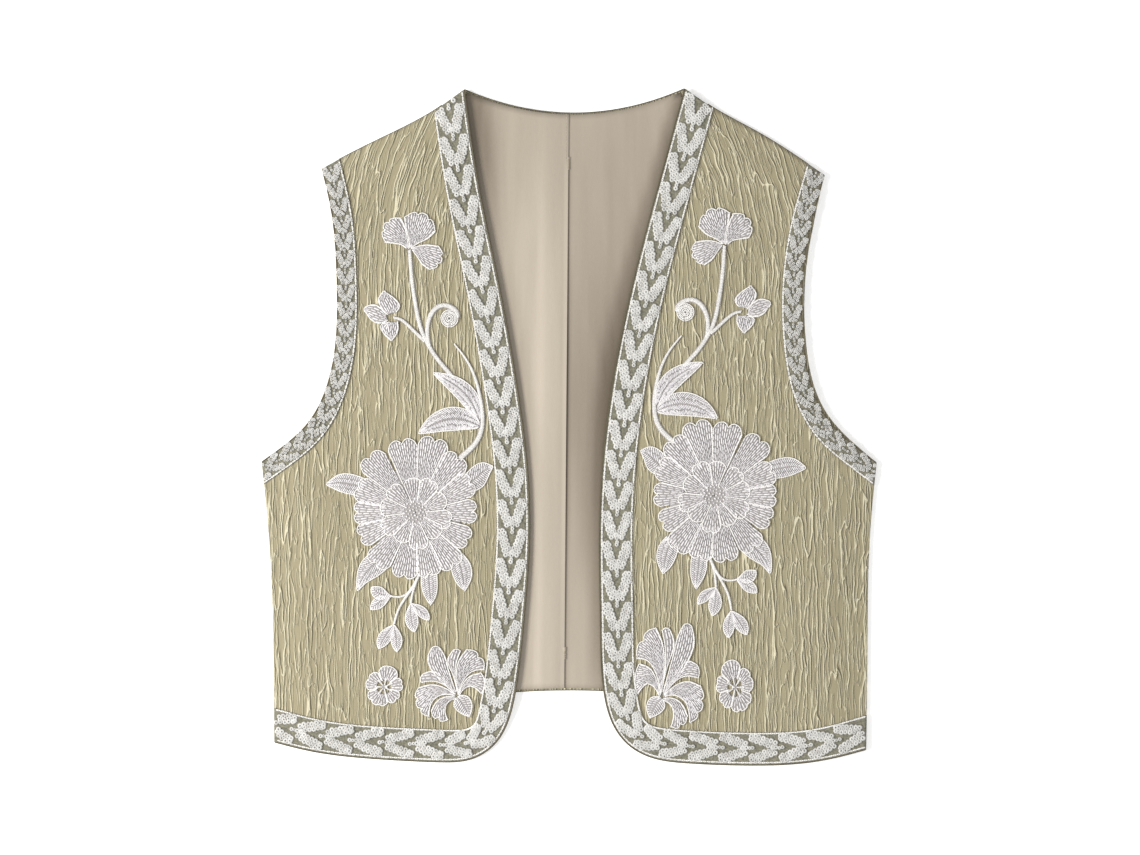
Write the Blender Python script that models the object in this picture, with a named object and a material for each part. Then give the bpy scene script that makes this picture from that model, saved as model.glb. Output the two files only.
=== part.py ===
"""Embroidered open-front waistcoat, laid flat on a surface with its two fronts uppermost.

The cropped waistcoat is cut as one back with its own lining and two fronts.  An embroidered
tape edges each front from the neck down round the lower corner and along the hem, and a
narrower one edges each armhole.  Raised satin-stitch flowers lie on the fronts.

The frame has its origin under the middle of the garment, on the surface that it lies on.
+Y points to the neck, +Z up, and the wearer's right front is at -X.  Tables are written in
millimetres.  A front's own tables give x as the distance from the centre line, so that both
fronts are drawn by the same functions.
"""

import math
from collections import namedtuple

import bmesh
import bpy
import numpy as np

MM = 0.001

# Cloth walls and the space between pieces that touch, in millimetres
GAP = 0.3
LYING_GAP = 0.4
BACK_WALL = 1.2
LINING_WALL = 1.0
FRONT_WALL = 1.5
BAND_WALL = 1.2
FLOOR_CLEARANCE = 0.05

# Embroidered tapes
FRONT_BAND_WIDTH = 26.0
FRONT_BAND_PITCH = 23.8
ARMHOLE_BAND_WIDTH = 15.6
ARMHOLE_BAND_PITCH = 13.2
BAND_RELIEF = 1.1
BAND_MARGIN = 0.18
UNDER_COLUMNS = (0.0, 0.5, 1.0)
MITRE_RUN = 28.0
CUT_RUN = 4.0

# How a front lies: low at its free edge, fuller inside, down on the back at the seams
EDGE_REST = 3.3
FULLNESS = 0.9
FULLNESS_REACH = 60.0
WAVE = 0.5
SEAM_ROLL = 30.0
SEAM_REST = BACK_WALL + GAP
NECK_SEAM_START = 37.0
OVERHANG_RUN = 34.0

# Back
NECK_DROP = 18.6
BACK_HEM_CENTRE = -205.0
LINING_NECK_INSET = 1.3
LINING_HEM_INSET = 1.6
LINING_SEAM_INSET = 23.0
LINING_ARMHOLE_INSET = 4.0
LINING_WAVE = 0.35
LINING_ROWS = 10

# Knife pleat at the centre of the lining: three layers, folded over towards the left
PLEAT_LAYER = 1.2
PLEAT_DEPTH = 16.0
PLEAT_RAMP = 9.0
PLEAT_TOP_X = -1.0
PLEAT_HEM_X = -4.5
PLEAT_RIGHT_SPACE = 7.0

# Embroidery relief above the cloth
STEM_RISE = 1.3
LEAF_RISE = 1.5
PETAL_RISE = 1.6
EDGE_RISE = 0.7

Tables = namedtuple(
    "Tables",
    "name sign edge shoulder armhole side_seam back_hem_fall back_armhole_reach "
    "palmette_height rosette_height",
)

# Columns of every outline table: x from the centre line, y
RIGHT = Tables(
    name="right",
    sign=-1,
    edge=(
        (82.1, 263.8), (72.3, 197.0), (52.6, 99.0), (41.1, 33.0), (32.9, -32.0),
        (31.3, -88.0), (35.2, -146.0), (41.2, -200.0), (46.0, -223.0), (57.5, -246.0),
        (77.2, -259.0), (104.0, -261.3), (151.0, -258.9), (195.0, -254.0), (230.7, -245.7),
    ),
    shoulder=((82.1, 263.8), (108.4, 246.0), (148.0, 225.5), (179.0, 209.9), (193.8, 201.7)),
    armhole=(
        (240.6, -26.5), (223.3, -14.2), (205.3, 2.2), (190.3, 30.0),
        (182.6, 66.3), (181.7, 115.0), (186.0, 168.0), (193.8, 201.7),
    ),
    side_seam=((230.7, -245.7), (231.5, -170.0), (234.8, -88.0), (240.6, -26.5)),
    back_hem_fall=40.0,
    back_armhole_reach=0.8,
    palmette_height=1.0,
    rosette_height=1.0,
)
LEFT = Tables(
    name="left",
    sign=1,
    edge=(
        (89.1, 264.4), (70.8, 197.0), (45.6, 99.0), (32.8, 33.0), (24.9, -32.0),
        (22.6, -88.0), (23.4, -154.0), (26.7, -209.6), (31.9, -228.5), (43.5, -246.0),
        (62.0, -257.3), (90.7, -262.1), (140.0, -263.9), (192.0, -260.8), (231.0, -251.5),
    ),
    shoulder=((89.1, 264.4), (109.6, 250.9), (150.0, 228.5), (186.7, 205.0), (198.7, 196.8)),
    armhole=(
        (239.2, -27.3), (222.0, -14.2), (205.6, 0.5), (190.0, 27.0),
        (182.2, 64.0), (180.8, 105.0), (186.5, 152.0), (198.7, 196.8),
    ),
    side_seam=((231.0, -251.5), (232.0, -187.0), (234.3, -81.5), (239.2, -27.3)),
    back_hem_fall=43.0,
    back_armhole_reach=2.4,
    palmette_height=1.24,
    rosette_height=1.3,
)

# Grid lines of a front, as fractions across from the front edge and up from the hem
FRONT_COLUMNS = (
    0, 0.07, 0.14, 0.25, 0.37, 0.49, 0.61, 0.72, 0.8, 0.86, 0.895, 0.93, 0.965, 1,
)
UNDERARM_ROW = 0.46
FRONT_ROWS = (
    0, 0.018, 0.036, 0.056, 0.08, 0.11, 0.15, 0.2, 0.265, 0.33, 0.395, UNDERARM_ROW,
    0.52, 0.58, 0.64, 0.7, 0.76, 0.82, 0.87, 0.91, 0.945, 0.965, 0.982, 1,
)

# The left front's embroidery sits higher and nearer its edge: y on the right, then the shift
Shift = namedtuple("Shift", "y out up")
LEFT_SHIFT = (
    Shift(-205.0, -16.5, -1.0),
    Shift(-150.0, -11.0, 11.6),
    Shift(-120.0, -9.0, 13.7),
    Shift(-63.0, -7.5, 13.0),
    Shift(3.0, -2.3, 11.8),
    Shift(50.0, -3.0, 7.5),
    Shift(88.0, -4.0, 4.6),
    Shift(138.0, -4.5, 3.4),
)

# Petals and leaves that spring from one point: direction in degrees, length, width, and how
# blunt the tip is, from 0 for a point to 1 for a round end
Petal = namedtuple("Petal", "turn length width blunt")
FAN_PETALS = (
    Petal(107, 29.0, 24.0, 1.0), Petal(35, 27.0, 21.0, 1.0), Petal(199, 26.5, 21.0, 1.0),
)
TREFOIL_PETALS = (
    Petal(80, 19.2, 12.5, 0.3), Petal(13, 18.3, 12.5, 0.3), Petal(264, 19.2, 12.5, 0.3),
)
PALMETTE_PETALS = (
    Petal(-30, 32.0, 12.0, 0.9), Petal(-4, 33.0, 12.0, 0.8), Petal(20, 36.0, 13.0, 0.8),
    Petal(45, 39.0, 15.0, 0.8), Petal(72, 40.0, 15.0, 0.7), Petal(99, 38.0, 14.0, 0.8),
    Petal(126, 29.0, 13.0, 0.8), Petal(152, 19.5, 10.0, 0.9),
)
ROSETTE_PETALS = tuple(Petal(30 + 60 * k, 14.0, 13.0, 1.0) for k in range(6))
Bud = namedtuple("Bud", "name base petals")
BUDS = (
    Bud("bud_outer", (140.0, -131.5), (Petal(24, 16.6, 9.0, 0.2), Petal(-31, 18.7, 9.0, 0.2))),
    Bud("bud_inner", (123.9, -137.9), (Petal(263, 21.5, 9.5, 0.2), Petal(224, 18.0, 8.5, 0.2))),
    Bud("bud_lower", (137.3, -154.4), (Petal(-59, 21.6, 9.5, 0.2), Petal(263, 20.5, 9.0, 0.2))),
)

# Great flower: petal mass, its scallops, and the sepals that show past its rim
FLOWER_CENTRE = (120.7, -63.0)
FLOWER_HALF_WIDTH = 48.0
FLOWER_HALF_HEIGHT = 55.0
FLOWER_SCALLOPS = 20
FLOWER_SAMPLES = 3
INNER_PETALS = 9
SEPAL_CURVE = 1.3
Sepal = namedtuple("Sepal", "turn reach before after")
SEPALS = (
    Sepal(16, 71.5, 9, 17), Sepal(151, 68.5, 16, 11), Sepal(-54, 75.0, 13, 12),
    Sepal(261, 77.5, 11, 9), Sepal(240, 74.0, 12, 9),
)

INNER_RING = 27.0

# Where a petal's outline has points, as shares of its half angle, and their least step
PETAL_STEPS = (-0.97, -0.7, -0.4, 0, 0.4, 0.7, 0.97)
PETAL_STEP_LEAST = 0.06
FLOWER_RINGS = ((0.4, 0.75), (0.78, 1.0), (1.0, 0.0))
BUD_RINGS = ((0.6, 1.0), (1.0, 0.0))

# Stems: centre line of each, and its width at the start, the middle and the end
Stem = namedtuple("Stem", "name widths stations points")
STEMS = (
    Stem("fan_stem", (2.6, 3.2, 3.4), 12, (
        (124.4, 133.0), (122.5, 110.0), (120.0, 89.0), (115.0, 73.0), (108.8, 62.2),
        (103.2, 53.1), (97.0, 46.0),
    )),
    Stem("trefoil_stem", (2.4, 2.6, 3.0), 7, (
        (134.5, 85.6), (127.4, 81.2), (121.8, 76.4), (118.6, 72.6),
    )),
    Stem("curl", (3.2, 4.4, 4.9), 16, (
        (111.3, 76.5), (109.8, 83.5), (106.0, 90.7), (99.8, 94.4), (92.7, 93.2),
        (88.0, 88.6), (87.6, 83.1), (91.0, 80.0), (95.6, 81.4), (96.4, 84.8),
    )),
    Stem("tendril", (1.6, 3.4, 4.6), 14, (
        (90.4, 65.4), (78.9, 49.8), (72.3, 33.4), (68.9, 17.0), (68.3, 1.5),
        (73.3, -12.0), (80.5, -19.5),
    )),
    Stem("sprig_stem", (2.4, 2.5, 2.4), 9, (
        (121.2, -121.5), (126.5, -130.5), (133.0, -141.0), (137.0, -151.0),
    )),
    Stem("sprig_outer_stem", (1.9, 2.2, 2.2), 5, (
        (129.8, -131.4), (133.5, -131.8), (137.0, -131.6),
    )),
    Stem("sprig_inner_stem", (1.9, 2.2, 2.2), 5, (
        (122.3, -129.2), (123.2, -132.0), (123.8, -134.8),
    )),
)

# Leaves: centre line from base to tip and greatest width
Leaf = namedtuple("Leaf", "name width stations points")
LEAVES = (
    Leaf("upper_leaf", 13.5, 9, ((74.6, 11.0), (79.6, 23.6), (90.0, 33.2), (106.0, 42.4))),
    Leaf("lower_leaf", 18.0, 9, ((74.4, 2.2), (86.0, 6.8), (101.0, 4.6), (117.5, -4.4))),
    Leaf("drop_leaf", 9.5, 7, ((87.6, -214.4), (84.6, -219.4), (80.6, -224.6))),
)

# Sections: place across as a fraction of the half width, and share of the full rise
Section = namedtuple("Section", "across rise")
STEM_SECTION = (Section(-1, 0), Section(-0.6, 1), Section(0.6, 1), Section(1, 0))
LEAF_SECTION = (
    Section(-1, 0), Section(-0.96, 0.5), Section(-0.45, 1), Section(0, 0.72),
    Section(0.45, 1), Section(0.96, 0.5), Section(1, 0), Section(0, 0),
)

# Linear base colour, roughness
Finish = namedtuple("Finish", "colour roughness")
FINISHES = {
    "crinkle_cloth": Finish((0.45, 0.40, 0.27), 0.85),
    "lining_satin": Finish((0.52, 0.44, 0.36), 0.45),
    "tape_ground": Finish((0.42, 0.42, 0.34), 0.9),
    "white_thread": Finish((0.72, 0.70, 0.68), 0.6),
}


def smooth(t):
    """Ease from 0 to 1 that starts and ends level."""
    return 0.5 - 0.5 * np.cos(math.pi * np.clip(t, 0.0, 1.0))


class Curve:
    """Natural cubic spline through the rows of a table, read by the share of its length."""

    def __init__(self, points):
        self.points = np.array(points, float)
        chords = np.linalg.norm(np.diff(self.points, axis=0), axis=1)
        self.knots = np.concatenate([[0.0], np.cumsum(chords)])
        count = len(self.knots)
        matrix = np.eye(count)
        right = np.zeros_like(self.points)
        for i in range(1, count - 1):
            before, after = chords[i - 1], chords[i]
            matrix[i, i - 1 : i + 2] = before, 2 * (before + after), after
            rise_after = (self.points[i + 1] - self.points[i]) / after
            rise_before = (self.points[i] - self.points[i - 1]) / before
            right[i] = 6 * (rise_after - rise_before)
        self.bends = np.linalg.solve(matrix, right)
        self.fine = np.linspace(0.0, self.knots[-1], 800)
        steps = np.linalg.norm(np.diff(self._read(self.fine), axis=0), axis=1)
        self.lengths = np.concatenate([[0.0], np.cumsum(steps)])
        self.length = self.lengths[-1]

    def _read(self, knot):
        i = np.clip(np.searchsorted(self.knots, knot, side="right") - 1, 0, len(self.knots) - 2)
        span = (self.knots[i + 1] - self.knots[i])[:, None]
        b = (knot - self.knots[i])[:, None] / span
        a = 1 - b
        bend = (a**3 - a) * self.bends[i] + (b**3 - b) * self.bends[i + 1]
        return a * self.points[i] + b * self.points[i + 1] + bend * span**2 / 6

    def at(self, share):
        """Points at shares of the length, on straight lines before 0 and after 1."""
        place = np.atleast_1d(np.asarray(share, float)) * self.length
        points = self._read(np.interp(place, self.lengths, self.fine))
        ends = self._read(self.fine[[0, 1, -2, -1]])
        before, after = ends[1] - ends[0], ends[3] - ends[2]
        points = points + np.minimum(place, 0)[:, None] * before / np.linalg.norm(before)
        past = np.maximum(place - self.length, 0)[:, None]
        return points + past * after / np.linalg.norm(after)

    def heading(self, share):
        """Unit direction of travel at shares 0 to 1 of the length."""
        share = np.atleast_1d(np.asarray(share, float))
        step = 0.5 / self.length
        run = self.at(share + step) - self.at(share - step)
        return run / np.linalg.norm(run, axis=1)[:, None]

    def left_of(self, share, distance):
        """Points set off to the left of travel by a distance."""
        along = self.heading(share)
        aside = np.stack([-along[:, 1], along[:, 0]], axis=1)
        return self.at(share) + aside * np.reshape(distance, (-1, 1))


def distance_to(path, x, y):
    """Distance from points to a run of straight lines."""
    points = np.stack([x, y], axis=-1)[..., None, :]
    start, run = path[:-1], np.diff(path, axis=0)
    along = ((points - start) * run).sum(-1) / (run**2).sum(-1)
    nearest = start + np.clip(along, 0, 1)[..., None] * run
    return np.linalg.norm(points - nearest, axis=-1).min(-1)


class Front:
    """One front: its outline curves and the height that it lies at."""

    def __init__(self, tables):
        self.name, self.sign = tables.name, tables.sign
        self.back_hem_fall = tables.back_hem_fall
        self.back_armhole_reach = tables.back_armhole_reach
        self.palmette_height = tables.palmette_height
        self.rosette_height = tables.rosette_height
        self.edge = Curve(tables.edge)
        self.shoulder = Curve(tables.shoulder)
        self.armhole = Curve(tables.armhole)
        self.side_seam = Curve(tables.side_seam)
        self.hem_half_width = tables.side_seam[0][0]
        shares = np.linspace(0, 1, 400)
        turn = self.edge.heading(shares)
        self.corner = shares[np.argmax(turn[:, 0] + turn[:, 1] > 0)]
        self.edge_line = self.edge.at(np.linspace(0, 1, 36))
        seam_start = NECK_SEAM_START / self.shoulder.length
        self.seam_lines = (
            self.shoulder.at(np.linspace(seam_start, 1, 8)),
            self.side_seam.at(np.linspace(0, 1, 8)),
        )

    def back_hem(self, x):
        """The back's hem, shorter at the centre than at the side seams."""
        return BACK_HEM_CENTRE - self.back_hem_fall * (x / self.hem_half_width) ** 2

    def underside(self, x, y):
        """Height of the front's lower face."""
        inside = smooth(distance_to(self.edge_line, x, y) / FULLNESS_REACH)
        turn = 2 * math.pi
        waves = 0.6 * np.sin(turn * (x / 124 + y / 310) + self.sign)
        waves = waves + 0.4 * np.sin(turn * (x / 170 - y / 230) + 2.1 * self.sign)
        height = EDGE_REST + (FULLNESS + WAVE * waves) * inside
        from_seam = np.minimum(*[distance_to(line, x, y) for line in self.seam_lines])
        height = SEAM_REST + (height - SEAM_REST) * smooth(from_seam / SEAM_ROLL)
        overhang = smooth((self.back_hem(x) - y) / OVERHANG_RUN)
        return height + (FLOOR_CLEARANCE - height) * overhang

    def top(self, x, y):
        """Height of the front's upper face, which lies one wall along the normal."""
        step = 0.5
        slope_x = self.underside(x + step, y) - self.underside(x - step, y)
        slope_y = self.underside(x, y + step) - self.underside(x, y - step)
        return self.underside(x, y) + FRONT_WALL * np.sqrt(1 + slope_x**2 + slope_y**2)

    def outer_edge(self, rows):
        """Side seam and armhole as one side of the front, with a row at the underarm."""
        below = self.side_seam.at(np.clip(rows / UNDERARM_ROW, 0, 1))
        above = self.armhole.at(np.clip((rows - UNDERARM_ROW) / (1 - UNDERARM_ROW), 0, 1))
        return np.where((rows <= UNDERARM_ROW)[:, None], below, above)

    def place(self, point):
        """Where a point of the embroidery falls on this front."""
        x, y = point
        if self.sign > 0:
            levels = [row.y for row in LEFT_SHIFT]
            x = x + np.interp(point[1], levels, [row.out for row in LEFT_SHIFT])
            y = y + np.interp(point[1], levels, [row.up for row in LEFT_SHIFT])
        return float(x), float(y)


def make_material(name):
    """Principled material of one finish."""
    finish = FINISHES[name]
    material = bpy.data.materials.new(name)
    material.use_nodes = True
    shader = material.node_tree.nodes["Principled BSDF"]
    shader.inputs["Base Color"].default_value = (*finish.colour, 1.0)
    shader.inputs["Roughness"].default_value = finish.roughness
    shader.inputs["Metallic"].default_value = 0.0
    return material


def add_object(name, points, faces, finish, closed):
    """Object from points in millimetres; a closed body is turned to face outwards."""
    mesh = bpy.data.meshes.new(name)
    mesh.from_pydata([tuple(float(c) * MM for c in point) for point in points], [], faces)
    shape = bmesh.new()
    shape.from_mesh(mesh)
    if closed:
        bmesh.ops.recalc_face_normals(shape, faces=shape.faces)
    elif sum(face.normal.z * face.calc_area() for face in shape.faces) < 0:
        bmesh.ops.reverse_faces(shape, faces=shape.faces)
    shape.to_mesh(mesh)
    shape.free()
    mesh.shade_smooth()
    mesh.set_sharp_from_angle(angle=math.radians(35))
    mesh.materials.append(make_material(finish))
    piece = bpy.data.objects.new(name, mesh)
    bpy.context.scene.collection.objects.link(piece)
    return piece


def thicken(piece, wall, offset):
    """Give a sheet its thickness: offset 1 adds it above, 0 on both sides."""
    wall_maker = piece.modifiers.new("Wall", "SOLIDIFY")
    wall_maker.thickness = wall * MM
    wall_maker.offset = offset
    wall_maker.use_even_offset = True


def grid_faces(rows, columns):
    """Quads of a grid of points stored row by row."""
    faces = []
    for j in range(rows - 1):
        for i in range(columns - 1):
            corner = j * columns + i
            faces.append((corner, corner + 1, corner + columns + 1, corner + columns))
    return faces


def blend_sides(bottom, top, inner, outer, across, up):
    """Grid that fills four curved sides, from points given on each of them."""
    u, v = across[None, :, None], up[:, None, None]
    bottom, top = bottom[None], top[None]
    inner, outer = inner[:, None], outer[:, None]
    ruled = (1 - v) * bottom + v * top + (1 - u) * inner + u * outer
    low = (1 - u) * bottom[:, :1] + u * bottom[:, -1:]
    high = (1 - u) * top[:, :1] + u * top[:, -1:]
    return ruled - (1 - v) * low - v * high


def make_front(front):
    """A front's cloth, a wall over its own curved underside."""
    across, up = np.array(FRONT_COLUMNS, float), np.array(FRONT_ROWS, float)
    plan = blend_sides(
        bottom=front.edge.at(front.corner + across * (1 - front.corner)),
        top=front.shoulder.at(across),
        inner=front.edge.at(front.corner * (1 - up)),
        outer=front.outer_edge(up),
        across=across,
        up=up,
    )
    x, y = plan[..., 0].ravel(), plan[..., 1].ravel()
    points = np.stack([x * front.sign, y, front.underside(x, y)], axis=1)
    faces = grid_faces(len(up), len(across))
    sheet = add_object(f"{front.name}_front", points, faces, "crinkle_cloth", closed=False)
    thicken(sheet, FRONT_WALL, 1)


def back_side_outline(front, inset, seam_inset, reach):
    """One side of the back from the shoulder to the hem, in the front's own frame."""
    shares = np.linspace(0, 1, 15)
    swell = reach * np.clip(2 * np.sin(math.pi * shares), 0, 1)
    armhole = front.armhole.left_of(shares, inset - swell)[::-1]
    seam = front.side_seam.left_of(np.linspace(1, 0, 7), seam_inset)
    return armhole, seam


def make_back(fronts):
    """The back's outer cloth, flat on the surface."""
    outline = []
    for front in fronts:
        armhole, seam = back_side_outline(front, 0.0, 0.0, front.back_armhole_reach)
        hem_x = np.linspace(front.hem_half_width, 0, 9)[1:]
        hem = np.stack([hem_x, front.back_hem(hem_x)], axis=1)
        seam_end = np.array([[front.hem_half_width, front.back_hem(front.hem_half_width)]])
        side = [front.shoulder.at(np.linspace(0, 1, 5)), armhole[1:], seam[1:-1], seam_end, hem]
        side = np.concatenate(side) * (front.sign, 1)
        outline.append(side)
    right, left = outline
    neck_x = np.linspace(right[0, 0], left[0, 0], 13)[1:-1]
    neck = np.stack([neck_x, neck_line(fronts, neck_x)], axis=1)
    ring = np.concatenate([neck, left, right[:-1][::-1]])
    points = np.column_stack([ring, np.zeros(len(ring))])
    sheet = add_object("back", points, [tuple(range(len(ring)))], "crinkle_cloth", closed=False)
    thicken(sheet, BACK_WALL, 1)


def neck_line(fronts, x):
    """The back neck, a shallow curve between the two neck points."""
    right, left = [front.shoulder.at(0)[0] * (front.sign, 1) for front in fronts]
    share = (x - right[0]) / (left[0] - right[0])
    return right[1] + (left[1] - right[1]) * share - NECK_DROP * 4 * share * (1 - share)


def pleat_section():
    """Section of the knife pleat from left to right: place from the fold, layer height."""
    radius = PLEAT_LAYER / 2
    left, back = -PLEAT_DEPTH - PLEAT_RAMP, -PLEAT_DEPTH + 1.5
    section = [(left - 4, 0.0), (left, 0.0), (left + PLEAT_RAMP / 2, PLEAT_LAYER)]
    section += [(left + PLEAT_RAMP, 2 * PLEAT_LAYER), (-PLEAT_DEPTH / 2, 2 * PLEAT_LAYER)]
    turns = [math.radians(a) for a in (90, 45, 0, -45, -90)]
    section += [
        (-radius + radius * math.cos(a), 1.5 * PLEAT_LAYER + radius * math.sin(a)) for a in turns
    ]
    section += [
        (back - radius * math.cos(a), 0.5 * PLEAT_LAYER + radius * math.sin(a)) for a in turns
    ]
    return section + [(PLEAT_RIGHT_SPACE, 0.0)]


def make_lining(fronts):
    """The back's satin lining, with its centre pleat folded in three layers."""
    rows = np.linspace(0, 1, LINING_ROWS)
    sides = []
    for front in fronts:
        armhole, seam = back_side_outline(front, LINING_ARMHOLE_INSET, LINING_SEAM_INSET, 0.0)
        corner_x = front.hem_half_width - LINING_SEAM_INSET
        corner = [[corner_x, front.back_hem(corner_x) + LINING_HEM_INSET]]
        tip = front.shoulder.left_of(0.93, -LINING_SEAM_INSET)
        chain = np.concatenate([corner, seam[1:-1][::-1], armhole[::-1][2:-2], tip])
        sides.append(Curve(chain).at(rows) * (front.sign, 1))
    right, left = sides
    section = pleat_section()
    middle = len(section)
    flank = np.array([0, 0.2, 0.4, 0.58, 0.7, 0.85])
    points = []
    for j, row in enumerate(rows):
        pleat_x = PLEAT_HEM_X + (PLEAT_TOP_X - PLEAT_HEM_X) * row
        start, end = pleat_x + section[0][0], pleat_x + section[-1][0]
        xs = list(right[j, 0] + (start - right[j, 0]) * flank)
        xs += [pleat_x + place for place, _ in section]
        xs += list(left[j, 0] + (end - left[j, 0]) * flank[::-1])
        layers = [0.0] * len(flank) + [layer for _, layer in section] + [0.0] * len(flank)
        for x, layer in zip(xs, layers):
            share = (x - right[j, 0]) / (left[j, 0] - right[j, 0])
            hem_x = right[0, 0] + (left[0, 0] - right[0, 0]) * share
            top_x = right[-1, 0] + (left[-1, 0] - right[-1, 0]) * share
            low = fronts[int(hem_x > 0)].back_hem(abs(hem_x)) + LINING_HEM_INSET
            high = lining_top(fronts, top_x)
            side_y = (1 - share) * right[j, 1] + share * left[j, 1]
            low_line = (1 - share) * right[0, 1] + share * left[0, 1]
            high_line = (1 - share) * right[-1, 1] + share * left[-1, 1]
            y = side_y + (1 - row) * (low - low_line) + row * (high - high_line)
            wave = math.sin(x / 21 + 0.4 * math.sin(y / 90)) * (1 - smooth(abs(x) / 150))
            height = BACK_WALL + GAP + LINING_WALL / 2 + layer + LINING_WAVE * (1 + wave) / 2
            points.append((x, y, height))
    columns = middle + 2 * len(flank)
    faces = grid_faces(len(rows), columns)
    sheet = add_object("back_lining", points, faces, "lining_satin", closed=False)
    thicken(sheet, LINING_WALL, 0)


def lining_top(fronts, x):
    """Upper edge of the lining: the neck, then in from each shoulder seam."""
    front = fronts[int(x > 0)]
    neck_x, neck_y = front.shoulder.at(0)[0]
    reach = abs(x)
    if reach <= neck_x - 2:
        return float(neck_line(fronts, x)) - LINING_NECK_INSET
    inset = front.shoulder.left_of(np.linspace(0.1, 0.93, 8), -LINING_SEAM_INSET)
    corner = float(neck_line(fronts, (neck_x - 2) * front.sign)) - LINING_NECK_INSET
    xs = np.concatenate([[neck_x - 2, neck_x + 4], inset[1:, 0]])
    ys = np.concatenate([[corner, neck_y - 17], inset[1:, 1]])
    return float(np.interp(reach, xs, ys))


def raise_points(front, x, y, rise):
    """World points that lie on a front's cloth, raised by a rise."""
    height = front.top(x, y) + LYING_GAP + rise
    return np.stack([x * front.sign, y, height], axis=-1)


def end_cut(curve, share, cut):
    """How far a tape's end runs along the edge for each millimetre in from it."""
    along = curve.heading(share)[0]
    aside = np.array([-along[1], along[0]])
    return float(cut @ along / (cut @ aside))


def make_band(front, name, curve, cuts, width, across, pitch, rows_of_repeat):
    """Tape along an edge, its chevrons raised in the upper points over a plain underside."""
    count = round(curve.length / pitch)
    phases = [(k + phase, rise) for k in range(count) for phase, rise in rows_of_repeat]
    closer = rows_of_repeat[-1][0] / 2 + 0.5
    phases += [(k + closer, 0.0) for k in (0, 1, count - 3, count - 2, count - 1)]
    phases = sorted(phases) + [(count, 0.0)]
    places = np.array([phase for phase, _ in phases]) / count
    highs = np.array([rise for _, rise in phases])
    ends = np.minimum(places, 1 - places) * curve.length
    mitre = smooth(ends / MITRE_RUN) * width / curve.length
    start, end = end_cut(curve, 0, cuts[0]), end_cut(curve, 1, cuts[1])
    near_start = 1 - smooth(places * curve.length / (CUT_RUN * width))
    near_end = 1 - smooth((1 - places) * curve.length / (CUT_RUN * width))
    slide = (start * near_start + end * near_end) * width / curve.length
    top, under = [], []
    for column in across:
        slant = 0.5 - abs(column - 0.5)
        shares = places + mitre * (slant - 0.25) + slide * column
        plan = curve.left_of(shares, column * width)
        margin = 0.0 if min(column, 1 - column) < BAND_MARGIN else 1.0
        rise = BAND_WALL + BAND_RELIEF * margin * highs
        top.append(raise_points(front, plan[:, 0], plan[:, 1], rise))
    for column in UNDER_COLUMNS:
        plan = curve.left_of(places - 0.25 * mitre + slide * column, column * width)
        under.append(raise_points(front, plan[:, 0], plan[:, 1], 0.0))
    top, under = np.array(top), np.array(under)
    rows, wide, narrow = len(places), len(across), len(under)
    base = rows * wide
    points = np.concatenate([top.transpose(1, 0, 2).reshape(-1, 3),
                             under.transpose(1, 0, 2).reshape(-1, 3)])
    faces = grid_faces(rows, wide)
    faces += [tuple(base + i for i in face) for face in grid_faces(rows, narrow)]
    for j in range(rows - 1):
        for upper, lower in ((0, 0), (wide - 1, narrow - 1)):
            faces.append((
                j * wide + upper, (j + 1) * wide + upper,
                base + (j + 1) * narrow + lower, base + j * narrow + lower,
            ))
    for j in (0, rows - 1):
        upper = [j * wide + i for i in range(wide)]
        lower = [base + j * narrow + i for i in range(narrow)]
        faces.append(tuple(upper + lower[::-1]))
    add_object(name, points, faces, "tape_ground", closed=True)


def make_bands(front):
    """The wide tape of the front edge and hem, and the narrow one of the armhole."""
    neck_cut, tip_cut = front.shoulder.heading(0)[0], -front.shoulder.heading(1)[0]
    hem_cut, underarm_cut = front.side_seam.heading(0)[0], -front.side_seam.heading(1)[0]
    make_band(
        front, f"{front.name}_front_band", front.edge, (neck_cut, hem_cut), FRONT_BAND_WIDTH,
        across=(0, 0.115, 0.25, 0.5, 0.75, 0.885, 1), pitch=FRONT_BAND_PITCH,
        rows_of_repeat=((0.0, 0.0), (0.27, 1.0), (0.54, 0.0)),
    )
    make_band(
        front, f"{front.name}_armhole_band", front.armhole, (underarm_cut, tip_cut),
        ARMHOLE_BAND_WIDTH, across=(0, 0.17, 0.5, 0.83, 1), pitch=ARMHOLE_BAND_PITCH,
        rows_of_repeat=((0.0, 0.0), (0.5, 1.0)),
    )


def make_pad(front, name, centre, outline, rings, under_rings):
    """Stitched pad round a centre.

    The outline gives a point for each angle as an offset from the centre.  Each ring is a
    share of that offset and a rise, one or a value for each angle.
    """
    count = len(outline)
    loops = [(np.reshape(share, (-1, 1)), rise) for share, rise in rings]
    loops += [(np.array([[share]]), 0.0) for share in under_rings]
    middle = np.array([centre], float)
    crest = np.max(rings[0][1])
    points = [raise_points(front, middle[:, 0], middle[:, 1], crest)]
    for share, rise in loops:
        plan = middle + share * outline
        points.append(raise_points(front, plan[:, 0], plan[:, 1], rise))
    points.append(raise_points(front, middle[:, 0], middle[:, 1], 0.0))
    points = np.concatenate(points)
    last = len(points) - 1
    faces = []
    for i in range(count):
        after = (i + 1) % count
        faces.append((0, 1 + i, 1 + after))
        for k in range(len(loops) - 1):
            near, far = 1 + k * count, 1 + (k + 1) * count
            faces.append((near + i, far + i, far + after, near + after))
        under = 1 + (len(loops) - 1) * count
        faces.append((last, under + after, under + i))
    add_object(name, points, faces, "white_thread", closed=True)


def away_from(angles, turn):
    """Signed angle of each angle from a direction in degrees, in radians."""
    return (angles - math.radians(turn) + math.pi) % (2 * math.pi) - math.pi


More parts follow.
